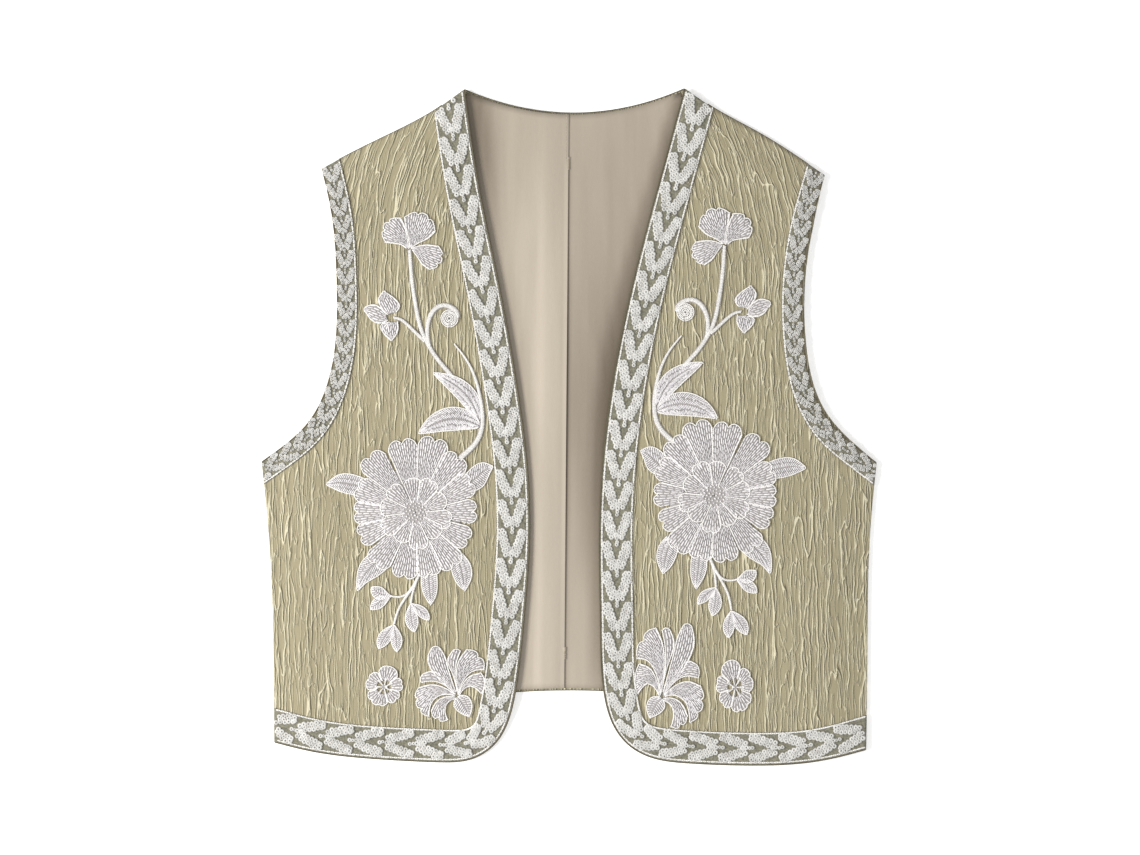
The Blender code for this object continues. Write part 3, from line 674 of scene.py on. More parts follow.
class Shader(NodeTree):
    """Material whose nodes take arithmetic on their outputs."""

    def __init__(self, name: str, constants: dict[str, float]) -> None:
        """Start a material.

        Args:
            name: Name of the material.
            constants: Values set straight on the surface shader's sockets.
        """
        self.material = bpy.data.materials.new(name)
        self.material.use_nodes = True
        super().__init__(self.material.node_tree)
        self.surface = self.tree.nodes["Principled BSDF"]
        for key, value in constants.items():
            self.surface.inputs[key].default_value = value

    def node(
        self, kind: str, settings: Options = None, values: Options = None, output: str | int = 0
    ) -> Socket:
        """Add a node, as add does, and wrap its output."""
        return Socket(self, self.add(kind, settings, values, output))

    def maths(self, operation: str, first: Any, second: Any) -> Socket:
        """Math node on two values."""
        return self.node("ShaderNodeMath", {"operation": operation}, {0: first, 1: second})

    def shift(self, operation: str, *values: Any) -> Socket:
        """Vector Math node on vectors."""
        return self.node("ShaderNodeVectorMath", {"operation": operation}, dict(enumerate(values)))

    def attribute(self, name: str, output: str = "Fac") -> Socket:
        """Value that a mesh carries."""
        return self.node("ShaderNodeAttribute", {"attribute_name": name}, None, output)

    def noise(self, place: Socket, detail: float = 2.0, distortion: float = 0.0) -> Socket:
        """Noise of unit size at a place."""
        values = {"Vector": place, "Scale": 1.0, "Detail": detail, "Distortion": distortion}
        return self.node("ShaderNodeTexNoise", None, values, "Fac")

    def fleck(self, scale: Sequence[float], turn: float = 0.0, *options: float) -> Socket:
        """Noise on the object's own coordinates.

        Args:
            scale: Stretch of the coordinates.
            turn: Turn about Z before it, in degrees.
            options: Detail and distortion of the noise, where they aren't the usual ones.

        Returns:
            The noise.
        """
        start = self.node("ShaderNodeTexCoord", output="Object")
        turned = {"Vector": start, "Rotation": (0.0, 0.0, math.radians(turn)), "Scale": scale}
        return self.noise(self.node("ShaderNodeMapping", None, turned), *options)

    def wandering(self, scale: Sequence[float], reach: float) -> Socket:
        """Stretched places in the weave whose X wanders by a reach in metres."""
        start = self.attribute("weave_place", "Vector")
        fine = {"Vector": start, "Scale": 55.0, "Detail": 2.0}
        drift = self.node("ShaderNodeTexNoise", None, fine, "Color")
        moved = self.shift("MULTIPLY_ADD", drift, (reach, 0.0, 0.0), start)
        values = {"Vector": moved, "Location": (0.31, 0.67, 0.43), "Scale": scale}
        return self.node("ShaderNodeMapping", None, values)

    def crinkles(self, scale: Sequence[float], reach: float, width: float) -> list[Socket]:
        """Crests of an even width along a noise's middle value, and the shade on their right.

        Args:
            scale: Stretch of the weave's places.
            reach: How far the crests wander, in metres.
            width: Width of a crest, in metres.

        Returns:
            The crests and the shade, each from 0 to 1.
        """
        here = self.wandering(scale, reach)
        beside = self.shift("ADD", here, (-width * scale[0], 0.0, 0.0))
        levels = [self.noise(place, 0.0) - 0.5 for place in (here, beside)]
        slope = (levels[0] - levels[1]).away() + 0.004
        return [(1.45 - level.away() / slope * 1.9).clamped() for level in levels]

    def blend(self, factor: Socket | float, low: Socket | Colour, high: Socket | Colour) -> Socket:
        """Mix of two colours."""
        values = {0: factor}
        for key, colour in ((6, low), (7, high)):
            values[key] = colour if isinstance(colour, Socket) else (*colour, 1.0)
        return self.node("ShaderNodeMix", {"data_type": "RGBA"}, values, 2)

    def finish(
        self, colour: Socket, height: Socket, distance: float, roughness: Socket | None = None
    ) -> Material:
        """Link the surface.

        Args:
            colour: Base colour.
            height: Relief for the bump, about 0 to 1.
            distance: Height of that relief, in metres.
            roughness: Roughness where it varies.

        Returns:
            The material.
        """
        bump = self.node("ShaderNodeBump", None, {"Height": height, "Distance": distance, "Strength": 1.0})
        linked = {"Base Color": colour, "Normal": bump, "Roughness": roughness}
        for key, value in linked.items():
            if value is not None:
                self.tree.links.new(value.socket, self.surface.inputs[key])
        return self.material


@dataclass(frozen=True)
class CrinkleCloth:
    """Olive cloth with fine lengthwise crinkles, with painted highlights on the crests and painted shade
    beside them.
    """

    name: str = "crinkle_cloth"
    # Painted highlight colour of the crinkles' crests
    crest_highlight: Colour = linear(228, 220, 190)
    ground: Colour = linear(157, 148, 120)
    # Painted shade colour beside the crests, also the dark of the fine weave
    shade_and_weave_dark: Colour = linear(66, 60, 42)

    def material(self) -> Material:
        """Build the material."""
        shader = Shader(self.name, {"Roughness": 0.9, "Specular IOR Level": 0.3, "Sheen Weight": 0.06})
        broad = shader.crinkles((170, 12, 40), 0.0045, 0.0008)
        narrow = shader.crinkles((280, 21, 60), 0.004, 0.00072)
        small = shader.crinkles((480, 60, 60), 0.003, 0.0006)
        patch = shader.fleck((60, 30, 20))
        other = shader.fleck((85, 42, 33))
        weave = shader.fleck((2000, 1100, 900))
        relief = shader.attribute("crinkle")
        shares = [(patch * 5 - 1.5), (other * 5 - 1.6), (patch * -3 + 2.4)]
        shares = [share.clamped() for share in shares]
        # Crest masks raise the bump and carry painted highlights; the second masks are painted shade on each
        # crest's right, as if lit from the left
        crest_highlight, shade = [
            (broad[k] * shares[0] + narrow[k] * shares[1] * 0.85 + small[k] * shares[2] * 0.5).clamped()
            for k in (0, 1)
        ]
        # Painted highlight where the mesh's relief stands higher
        ground = shader.blend(relief * 0.1, self.ground, self.crest_highlight)
        # Painted shade on the right of each crest
        shaded = shader.blend(shade * 0.8, ground, self.shade_and_weave_dark)
        # Painted highlight along the crests
        raised = shader.blend(crest_highlight * 0.95, shaded, self.crest_highlight)
        colour = shader.blend(weave * 0.22, raised, self.shade_and_weave_dark)
        height = crest_highlight * 0.6 + relief * 0.15 + weave * 0.06 - shade * 0.2
        return shader.finish(colour, height + 0.2, 0.0008, 0.8 + patch * 0.16)


@dataclass(frozen=True)
class LiningSatin:
    """Taupe satin with a soft gloss, faint drawn threads, and painted light and shade that its mesh carries.
    """

    name: str = "lining_satin"
    light: Colour = linear(189, 178, 162)
    # Dark end of the tone, reached mostly through painted shade
    dark: Colour = linear(96, 85, 70)

    def material(self) -> Material:
        """Build the material."""
        shader = Shader(self.name, {"Roughness": 0.42, "Sheen Weight": 0.1, "Specular IOR Level": 0.35})
        thread = shader.fleck((3200, 260, 400))
        slub = shader.fleck((90, 9, 20), 0, 3, 0.3)
        # Painted light and shade that the lining's mesh carries
        nap = shader.attribute("nap")
        tone = (nap + (slub - 0.5) * 0.22 + (thread - 0.5) * 0.12).clamped()
        colour = shader.blend(tone, self.dark, self.light)
        return shader.finish(colour, thread * 0.6 + slub * 0.4, 0.00012, 0.36 + slub * 0.14)


@dataclass(frozen=True)
class TapeGround:
    """Grey-green woven tape, its plain weave just visible."""

    name: str = "tape_ground"
    light: Colour = linear(140, 137, 119)
    dark: Colour = linear(82, 81, 69)

    def material(self) -> Material:
        """Build the material."""
        shader = Shader(self.name, {"Roughness": 0.9, "Sheen Weight": 0.1})
        warp = shader.fleck((1100, 420, 600), 45)
        weft = shader.fleck((420, 1100, 600), 45)
        patch = shader.fleck((60, 60, 60))
        weave = (warp * 0.5 + weft * 0.5).clamped()
        colour = shader.blend(((weave - 0.35) * 3 + patch * 0.3).clamped(), self.dark, self.light)
        return shader.finish(colour, weave, 0.0005)


@dataclass(frozen=True)
class Thread:
    """Embroidery thread, twisted and softly lustrous."""

    name: str
    light: Colour
    dark: Colour
    roughness: float = 0.55
    varied: bool = True

    def material(self) -> Material:
        """Build the material."""
        shader = Shader(self.name, {"Roughness": self.roughness, "Sheen Weight": 0.15})
        fibre = shader.fleck((1500, 1500, 1500), 30)
        tint = shader.fleck((70, 70, 70))
        tone = fibre * 0.4 + tint * 0.45
        if self.varied:
            tone = tone + shader.attribute("thread_shade") * 0.45
        colour = shader.blend(tone.clamped(), self.dark, self.light)
        return shader.finish(colour, fibre, 0.00025, (self.roughness - 0.08) + fibre * 0.16)


WHITE_THREAD = Thread("white_thread", linear(239, 236, 237), linear(202, 198, 201))
OUTLINE_THREAD = Thread("outline_thread", linear(246, 244, 240), linear(226, 223, 221))
# Real padding under the stitches, coloured darker than the thread as painted shade in the gaps between
# stitches
PADDING_WITH_GAP_SHADE = Thread("thread_padding", linear(178, 174, 172), linear(148, 144, 141), 0.8, False)
BOUCLE = Thread("boucle_thread", linear(220, 219, 215), linear(164, 162, 157), 0.7)
BOUCLE_PAD = Thread("boucle_padding", linear(192, 190, 183), linear(150, 148, 140), 0.8, False)
# Dark cord of the dark edges; along the tapes' outer edges its dark is partly painted shadow
EDGE_AND_SHADOW_CORD = Thread("edge_cord", linear(104, 94, 72), linear(66, 59, 42), 0.8, False)
LINING_THREAD = Thread("lining_thread", linear(196, 184, 166), linear(150, 138, 121), 0.6)


class Stitch(Enum):
    """Shapes of stitch."""

    GRAIN = "grain"
    LOOP = "loop"
    KNOT = "knot"


@dataclass(frozen=True)
class Guides:
    """Where stitches go: a place, direction, upward direction and half sizes for each."""

    points: Array
    headings: Array
    ups: Array
    sizes: Array

    @staticmethod
    def gather(parts: Sequence["Guides"]) -> "Guides":
        """Join several sets into one."""
        keys = ("points", "headings", "ups", "sizes")
        return Guides(*[np.concatenate([getattr(part, key) for part in parts]) for key in keys])


def flat_guides(points: Array, headings: Array, size: Sequence[float]) -> Guides:
    """Guides of one size that lie level."""
    ups = np.tile(UP, (len(points), 1))
    return Guides(points, headings, ups, np.tile(np.array(size, float), (len(points), 1)))


class StitchWork(NodeTree):
    """Geometry Nodes tree that sets one shape of stitch on every guide point."""

    INPUTS = {
        "Guides": "Geometry", "Turn spread": "Float", "Size spread": "Float", "Seed": "Int",
        "Thread": "Material",
    }

    def __init__(self, kind: Stitch) -> None:
        """Build the tree for one shape of stitch."""
        super().__init__(bpy.data.node_groups.new(f"{kind.value}_stitches", "GeometryNodeTree"))
        self.kind = kind
        face = self.tree.interface
        self.inputs = {
            name: face.new_socket(name, in_out="INPUT", socket_type=f"NodeSocket{data}").identifier
            for name, data in self.INPUTS.items()
        }
        face.new_socket("Stitches", in_out="OUTPUT", socket_type="NodeSocketGeometry")
        self._build()

    def _shape(self) -> bpy.types.NodeSocket:
        """One stitch of unit half length, along X."""
        if self.kind is Stitch.LOOP:
            ring, yarn = [
                self.add("GeometryNodeCurvePrimitiveCircle", None, {"Resolution": sides, "Radius": radius})
                for sides, radius in ((7, 0.62), (4, 0.44))
            ]
            return self.add("GeometryNodeCurveToMesh", None, {"Curve": ring, "Profile Curve": yarn})
        segments, rings = (6, 4) if self.kind is Stitch.KNOT else (5, 3)
        ball = self.add("GeometryNodeMeshUVSphere", None, {"Segments": segments, "Rings": rings})
        turned = {"Geometry": ball, "Rotation": (0.0, math.pi / 2, 0.0)}
        return self.add("GeometryNodeTransform", None, turned)

    def _random(self, low: Any, high: Any, seed: Any) -> bpy.types.NodeSocket:
        """Random number for each guide point."""
        values = {2: low, 3: high, "Seed": seed}
        return self.add("FunctionNodeRandomValue", {"data_type": "FLOAT"}, values, 1)

    def _build(self) -> None:
        """Lay out the nodes."""
        start = self.tree.nodes.new("NodeGroupInput").outputs
        guides, turn_spread, size_spread, seed, thread = [start[name] for name in self.INPUTS]
        carried, vector = "GeometryNodeInputNamedAttribute", {"data_type": "FLOAT_VECTOR"}
        heading, up, size = [
            self.add(carried, vector, {"Name": name}, "Attribute") for name in GUIDE_FIELDS
        ]
        align = "FunctionNodeAlignRotationToVector"
        along = self.add(align, {"axis": "X"}, {"Vector": heading})
        upright = self.add(align, {"axis": "Z", "pivot_axis": "X"}, {"Rotation": along, "Vector": up})
        low, least, most = [
            self.add("ShaderNodeMath", {"operation": operation}, {0: first, 1: second})
            for operation, first, second in (
                ("MULTIPLY", turn_spread, -1.0), ("SUBTRACT", 1.0, size_spread), ("ADD", 1.0, size_spread),
            )
        ]
        turn = self._random(low, turn_spread, seed)
        about_up = self.add("FunctionNodeAxisAngleToRotation", None, {"Axis": UP, "Angle": turn})
        rotation = self.add(
            "FunctionNodeRotateRotation", {"rotation_space": "LOCAL"},
            {"Rotation": upright, "Rotate By": about_up},
        )
        scale = self.add(
            "ShaderNodeVectorMath", {"operation": "SCALE"},
            {0: size, "Scale": self._random(least, most, seed)},
        )
        placed = self.add(
            "GeometryNodeInstanceOnPoints", None,
            {"Points": guides, "Instance": self._shape(), "Rotation": rotation, "Scale": scale},
        )
        toned = self.add(
            "GeometryNodeStoreNamedAttribute", {"data_type": "FLOAT", "domain": "INSTANCE"},
            {"Geometry": placed, "Name": "thread_shade", "Value": self._random(0.0, 1.0, seed)},
        )
        real = self.add("GeometryNodeRealizeInstances", None, {"Geometry": toned})
        soft = self.add("GeometryNodeSetShadeSmooth", None, {"Geometry": real})
        dyed = self.add("GeometryNodeSetMaterial", None, {"Geometry": soft, "Material": thread})
        self.tree.links.new(dyed, self.tree.nodes.new("NodeGroupOutput").inputs[0])

    def lay(
        self, name: str, guides: Guides, thread: Material, turn_spread: float, size_spread: float,
        seed: int,
    ) -> Piece:
        """Set the stitches and turn them into a plain mesh.

        Args:
            name: Name of the piece.
            guides: Where the stitches go, in millimetres.
            thread: Material of the thread.
            turn_spread: Greatest random turn of a stitch, in radians.
            size_spread: Greatest random change of its size, as a share.
            seed: Fixed seed of both.

        Returns:
            The stitches as one object at the origin.
        """
        mesh = bpy.data.meshes.new(f"{name}_guides")
        mesh.vertices.add(len(guides.points))
        mesh.vertices.foreach_set("co", (guides.points * MM).ravel())
        for key, values in zip(GUIDE_FIELDS, (guides.headings, guides.ups, guides.sizes * MM)):
            store(mesh, key, values)
        carrier = add_object(f"{name}_guides", mesh)
        modifier = carrier.modifiers.new("Stitches", "NODES")
        modifier.node_group = self.tree
        chosen = {"Turn spread": turn_spread, "Size spread": size_spread, "Seed": seed, "Thread": thread}
        for key, value in chosen.items():
            modifier[self.inputs[key]] = value
        graph = bpy.context.evaluated_depsgraph_get()
        made = bpy.data.meshes.new_from_object(carrier.evaluated_get(graph))
        carrier.modifiers.clear()
        bpy.data.objects.remove(carrier, do_unlink=True)
        for key in GUIDE_FIELDS:
            if key in made.attributes:
                made.attributes.remove(made.attributes[key])
        made.name = name
        turn_outwards(made)
        return add_object(name, made)


def made_by(make: Callable[..., Any], *args: Any) -> Any:
    """Field that each workroom makes anew."""
    return field(default_factory=lambda: make(*args))


@dataclass
class Workroom:
    """Materials and stitch trees that the sub-assemblies share."""

    cloth: Material = made_by(CrinkleCloth().material)
    satin: Material = made_by(LiningSatin().material)
    tape: Material = made_by(TapeGround().material)
    white: Material = made_by(WHITE_THREAD.material)
    outline: Material = made_by(OUTLINE_THREAD.material)
    padding: Material = made_by(PADDING_WITH_GAP_SHADE.material)
    boucle: Material = made_by(BOUCLE.material)
    boucle_pad: Material = made_by(BOUCLE_PAD.material)
    cord: Material = made_by(EDGE_AND_SHADOW_CORD.material)
    lining_thread: Material = made_by(LINING_THREAD.material)
    grain: StitchWork = made_by(StitchWork, Stitch.GRAIN)
    loop: StitchWork = made_by(StitchWork, Stitch.LOOP)
    knot: StitchWork = made_by(StitchWork, Stitch.KNOT)


def store_crinkle(piece: Piece, heights: Array, x: Array, y: Array) -> None:
    """Keep the relief and the places in the weave on the mesh.

    Args:
        piece: The cloth.
        heights: Relief of its upper face, then of its lower one, about -1 to 1.
        x: World x of one face's points, in millimetres.
        y: World y of the same points.
    """
    store(piece.data, "crinkle", np.clip(0.5 + 0.5 * heights, 0, 1))
    places = np.stack([drape(x, y), y, np.zeros(x.shape)], axis=-1).reshape(-1, 3) * MM
    store(piece.data, "weave_place", np.tile(places, (2, 1)))
@dataclass
class FrontCloth:
    """Crinkled cloth of one front, a thin shell over its own curved underside."""

    form: FrontForm
    room: Workroom
    columns: int = 200
    rows_below: int = 62
    rows_above: int = 74
    relief: float = 0.15
    flat_size: tuple[float, float] = (0.225, 0.532)

    def build(self) -> None:
        form = self.form
        across = np.linspace(0, 1, self.columns)
        up = underarm_rows(self.rows_below, self.rows_above)
        plan = blend_sides(
            bottom=form.edge.at(form.corner + across * (1 - form.corner)),
            top=form.shoulder.at(across),
            inner=form.edge.at(form.corner * (1 - up)),
            outer=form.outer_edge(up),
            across=across,
            up=up,
        )
        x, y = plan[..., 0], plan[..., 1]
        height = Crinkle(40 + form.sign).at(drape(x * form.sign, y), y)
        shown = form.lift(plan, self.relief * (height - 0.4))
        under = np.stack([x * form.sign, y, form.underside(x, y) + 0.15 + 0.15 * height], axis=-1)
        piece = add_shell(f"{form.name}_front_cloth", shown, under, self.room.cloth)
        store_crinkle(piece, np.tile(height.ravel(), 2), x * form.sign, y)
        finish_piece(piece, [f"{form.name}_front"])
        min(cut_area(plan), self.flat_size[0] * self.flat_size[1])


def tube(name: str, line: Array, radius: float, material: Material) -> Piece:
    """Round cord, closed at both ends.

    Args:
        name: Name of the piece.
        line: World points of its middle, in millimetres.
        radius: Its radius.
        material: Finish of the piece.

    Returns:
        The new object.
    """
    sides = 6
    ahead = np.gradient(line, axis=0)
    ahead /= np.linalg.norm(ahead, axis=1)[:, None]
    aside = np.cross(ahead, UP)
    aside /= np.linalg.norm(aside, axis=1)[:, None]
    above = np.cross(aside, ahead)
    angles = np.arange(sides) * 2 * math.pi / sides
    ring = [aside * (radius * math.cos(a)) + above * (radius * math.sin(a)) for a in angles]
    points = (line[:, None] + np.stack(ring, axis=1)).reshape(-1, 3)
    points = np.concatenate([points, line[:1], line[-1:]])
    faces = []
    for j in range(len(line) - 1):
        for i in range(sides):
            after = (i + 1) % sides
            near, far = j * sides, (j + 1) * sides
            faces.append((near + i, near + after, far + after, far + i))
    first, last = len(points) - 2, len(points) - 1
    base = (len(line) - 1) * sides
    for i in range(0, sides, 2):
        one, two = (i + 1) % sides, (i + 2) % sides
        faces.append((first, i, one, two))
        faces.append((last, base + two, base + one, base + i))
    return add_mesh(name, points, np.array(faces), material)


@dataclass
class Back:
    """Outer cloth of the back, flat on the surface, with its dark edge cord."""

    fronts: list[FrontForm]
    room: Workroom
    columns: int = 170
    rows: int = 92
    relief: float = 0.22
    cord_radius: float = 0.34
    flat_size: tuple[float, float] = (0.484, 0.512)

    def side(self, front: FrontForm, up: Array) -> Array:
        """World x and y up one side of the back."""
        shares = np.clip((up - UNDERARM_ROW) / (1 - UNDERARM_ROW), 0, 1)
        swell = front.tables.back_armhole_reach * np.clip(2 * np.sin(math.pi * shares), 0, 1)
        armhole = front.armhole.left_of(shares, -swell)
        low = front.side_seam.at(np.clip(up / UNDERARM_ROW, 0, 1))
        start = front.side_seam.at(0)[0, 1]
        hem = front.back_hem(front.hem_half_width)
        low[:, 1] = low[:, 1] + (hem - start) * np.clip(1 - 12 * up, 0, 1)
        return np.where((up <= UNDERARM_ROW)[:, None], low, armhole) * (front.sign, 1)

    def neck_line(self, x: Array) -> Array:
        """The back neck, a shallow curve between the two neck points."""
        right, left = [front.shoulder.at(0)[0] * (front.sign, 1) for front in self.fronts]
        share = (x - right[0]) / (left[0] - right[0])
        return right[1] + (left[1] - right[1]) * share - NECK_DROP * 4 * share * (1 - share)

    def hem_line(self, x: Array) -> Array:
        """The back's hem."""
        right, left = self.fronts
        return np.where(x > 0, left.back_hem(np.abs(x)), right.back_hem(np.abs(x)))

    def top_line(self, across: Array) -> Array:
        """Shoulders and neck as one line from the right shoulder tip to the left one."""
        right, left = self.fronts
        reach = [right.shoulder.at(1)[0, 0] * -1, left.shoulder.at(1)[0, 0]]
        x = reach[0] + (reach[1] - reach[0]) * across
        y = self.neck_line(x)
        for front in self.fronts:
            line = front.shoulder.at(np.linspace(0, 1, 60))
            past = x * front.sign > line[0, 0]
            y = np.where(past, np.interp(np.abs(x), line[:, 0], line[:, 1]), y)
        return np.stack([x, y], axis=1)

    def build(self) -> None:
        """Make the back and its cords."""
        across = np.linspace(0, 1, self.columns)
        below = int(self.rows * UNDERARM_ROW)
        up = underarm_rows(below, self.rows - below)
        inner, outer = [self.side(front, up) for front in self.fronts]
        hem_x = inner[0, 0] + (outer[0, 0] - inner[0, 0]) * across
        bottom = np.stack([hem_x, self.hem_line(hem_x)], axis=1)
        plan = blend_sides(bottom, self.top_line(across), inner, outer, across, up)
        x, y = plan[..., 0], plan[..., 1]
        height = Crinkle(71).at(drape(x, y), y)
        shown = np.stack([x, y, BACK_WALL + self.relief * (height - 1) * 0.5], axis=-1)
        under = np.stack([x, y, self.relief * 0.5 * (1 - height)], axis=-1)
        piece = add_shell("back_cloth", shown, under, self.room.cloth)
        store_crinkle(piece, np.concatenate([height.ravel(), -height.ravel()]), x, y)
        finish_piece(piece, ["back"])
        self.build_cords()

    def build_cords(self) -> None:
        """Dark cord round the neck, the shoulders and the hem."""
        right, left = self.fronts
        neck_x = np.linspace(-right.shoulder.at(0)[0, 0], left.shoulder.at(0)[0, 0], 60)
        neck = np.stack([neck_x, self.neck_line(neck_x) + 0.1, np.full(60, BACK_WALL + 0.6)], axis=1)
        hem_x = np.linspace(-66, 60, 50)
        hem = np.stack([hem_x, self.hem_line(hem_x) - 0.1, np.full(50, BACK_WALL - 0.2)], axis=1)
        lines = [("back_neck_cord", neck), ("back_hem_cord", hem)]
        for front in self.fronts:
            shoulder = front.shoulder.left_of(np.linspace(0.17, 0.88, 50), 0.15)
            lines.append((f"{front.name}_shoulder_cord", front.lift(shoulder, -0.25)))
        for name, line in lines:
            finish_piece(tube(name, line, self.cord_radius, self.room.cord))


@dataclass
class Lining:
    """Satin lining of the back, with the knife pleat at its centre."""

    fronts: list[FrontForm]
    back: Back
    room: Workroom
    rows: int = 90
    flank_columns: int = 26
    neck_inset: float = 1.3
    hem_inset: float = 1.6
    seam_inset: float = 23.0
    armhole_inset: float = 4.0
    wall: float = 0.4
    layer: float = 0.5
    depth: float = 16.0
    ramp: float = 9.0
    top_x: float = -1.0
    hem_x: float = -4.5
    right_space: float = 7.0
    stitched_down_to: float = 206.0
    bar_tack_y: float = -176.0
    flat_size: tuple[float, float] = (0.51, 0.49)
    area: float = 0.175

    def side(self, front: FrontForm) -> Array:
        """World x and y up one side of the lining, well inside the seams."""
        armhole = front.armhole.left_of(np.linspace(0, 1, 15), self.armhole_inset)[::-1]
        seam = front.side_seam.left_of(np.linspace(1, 0, 7), self.seam_inset)
        corner_x = front.hem_half_width - self.seam_inset
        corner = [[corner_x, front.back_hem(corner_x) + self.hem_inset]]
        tip = front.shoulder.left_of(0.93, -self.seam_inset)
        chain = np.concatenate([corner, seam[1:-1][::-1], armhole[::-1][2:-2], tip])
        return Curve(chain).at(np.linspace(0, 1, self.rows)) * (front.sign, 1)

    def top_y(self, x: Array) -> Array:
        """Upper edge of the lining: the neck, then in from each shoulder seam."""
        neck = self.back.neck_line(x) - self.neck_inset
        sides = []
        for front in self.fronts:
            neck_x, neck_y = front.shoulder.at(0)[0]
            inset = front.shoulder.left_of(np.linspace(0.1, 0.93, 8), -self.seam_inset)
            corner = self.back.neck_line((neck_x - 2) * front.sign) - self.neck_inset
            xs = np.concatenate([[neck_x - 2, neck_x + 4], inset[1:, 0]])
            ys = np.concatenate([[corner, neck_y - 17], inset[1:, 1]])
            sides.append(np.where(np.abs(x) <= neck_x - 2, neck, np.interp(np.abs(x), xs, ys)))
        return np.where(x > 0, sides[1], sides[0])

    def section(self) -> Array:
        """Section of the pleat from left to right: place from the fold, layer height, and tone added: painted
        highlight where above 0, painted shade where below.
        """
        radius, high = self.layer / 2, 2 * self.layer
        left, back = -self.depth - self.ramp, -self.depth + 1.5
        upper = [(left - 4, 0, 0), (left, 0, 0)]
        upper += [(left + self.ramp * share, high * smooth(share), 0) for share in (0.25, 0.5, 0.75, 1)]
        upper += [(-self.depth / 2, high, 0), (-4, high, -0.05), (-2, high, 0.1)]
        under = []
        # Painted highlight on the top of the fold, painted shade round its edge, under it and just past it
        for degrees in range(90, -91, -30):
            out, up = radius * math.cos(math.radians(degrees)), radius * math.sin(math.radians(degrees))
            upper.append((-radius + out, 1.5 * self.layer + up, 0.25 if degrees > 40 else -0.6))
            under.append((back - out, 0.5 * self.layer + up, -0.5))
        flat = [(0.9, 0, -0.5), (2.4, 0, -0.1), (4.5, 0, 0), (self.right_space, 0, 0)]
        return np.array(upper + under + flat)

    def billow(self, x: Array, y: Array) -> Array:
        """Height of the soft lengthwise waves in the part that shows."""
        shown = smooth((70 - np.abs(x)) / 45)
        ridge = 1.1 * np.exp(-(((x + 24 + 0.03 * y) / 13) ** 2))
        hollow = 0.8 * np.exp(-(((x - 26) / 16) ** 2))
        low = 0.25 * np.sin(x / 9 + 0.6 * np.sin(y / 70)) * shown
        return shown * (0.3 + ridge + hollow * 0.5) + low * 0.5 + 0.15

    def build(self) -> None:
        """Make the lining and its sewing."""
        up = np.linspace(0, 1, self.rows)[:, None]
        right, left = [self.side(front)[:, None] for front in self.fronts]
        section = self.section()
        flank = np.linspace(0, 1, self.flank_columns, endpoint=False)
        plain = np.zeros(self.flank_columns)
        layers, tones = [np.concatenate([plain, section[:, k], plain]) for k in (1, 2)]
        fold = self.hem_x + (self.top_x - self.hem_x) * up + section[:, 0]
        x = np.concatenate([
            right[..., 0] + (fold[:, :1] - right[..., 0]) * flank, fold,
            left[..., 0] + (fold[:, -1:] - left[..., 0]) * flank[::-1],
        ], axis=1)
        share = (x - right[..., 0]) / (left[..., 0] - right[..., 0])
        along, bottom, top = [
            [(1 - share) * one[..., k] + share * two[..., k] for k in (0, 1)]
            for one, two in ((right, left), (right[0], left[0]), (right[-1], left[-1]))
        ]
        low = self.back.hem_line(bottom[0]) + self.hem_inset - bottom[1]
        y = along[1] + (1 - up) * low + up * (self.top_y(top[0]) - top[1])
        height = BACK_WALL + GAP + self.wall / 2 + layers + self.billow(x, y)
        middle = np.stack([x, y, height], axis=-1)
        normal = np.cross(np.gradient(middle, axis=1), np.gradient(middle, axis=0))
        half = normal / np.linalg.norm(normal, axis=2)[..., None] * self.wall * 0.5
        piece = add_shell("back_lining_cloth", middle + half, middle - half, self.room.satin)
        # Painted light and shade of the satin, kept on the mesh for its material
        past = np.arange(len(layers)) >= self.flank_columns + 10
        store(piece.data, "nap", np.tile(self.nap(x, y, past, tones).ravel(), 2))
        finish_piece(piece, ["back_lining"])
        self.build_sewing()

    def nap(self, x: Array, y: Array, past_fold: Array, tones: Array) -> Array:
        """Tone of the satin, all painted light and shade: a painted sheen on the ramp left of the fold,
        painted shade right of it, painted light and shade at the loose fold, and painted shadow beside the
        fronts' edges.

        Args:
            x: World x of the points, rows by columns.
            y: World y of the points.
            past_fold: Whether each column is past the folded edge.
            tones: Tone that each column adds where the pleat is loose: painted highlight where above 0,
                painted shade where below.

        Returns:
            Tones from 0 to 1, rows by columns.
        """
        middle = np.exp(-(((y - 20) / 150) ** 2))
        ridge = np.exp(-(((x + 22) / 9) ** 2))
        high = smooth((y - 120) / 110)
        # Painted sheen on the ramp left of the fold, painted shade right of the fold at middle height, and
        # less light towards the top
        before = 0.8 + 0.16 * ridge * (0.3 + 0.7 * middle) - 0.12 * high
        after = 0.8 - middle * (0.34 + 0.1 * smooth(x / 34)) - 0.1 * high
        tone = np.where(past_fold[None, :], after, before)
        # Painted light and shade of the loose fold, below where it is stitched down
        tone = tone + tones[None, :] * smooth((self.stitched_down_to + 6 - y) / 12) * (0.55 + 0.45 * middle)
        # Painted shadow along each front's edge, wider and darker near the top beside the right front
        for front in self.fronts:
            away = distance_to(front.edge_line, x * front.sign, y)
            reach, depth = 7.0 + 6.0 * middle, 0.32 + 0.06 * high
            if front.sign < 0:
                reach = 8.0 + 5.0 * middle + 9.5 * high
                depth = 0.04 + 0.16 * smooth((y + 200) / 160) + 0.28 * high
            tone = tone - depth * np.exp(-((away / reach) ** 3.8))
        return np.clip(tone, 0, 1)

    def fold_x(self, y: Array) -> Array:
        """Where the pleat's folded edge runs."""
        return self.top_x + (self.hem_x - self.top_x) * np.clip((245 - y) / 450, 0, 1)

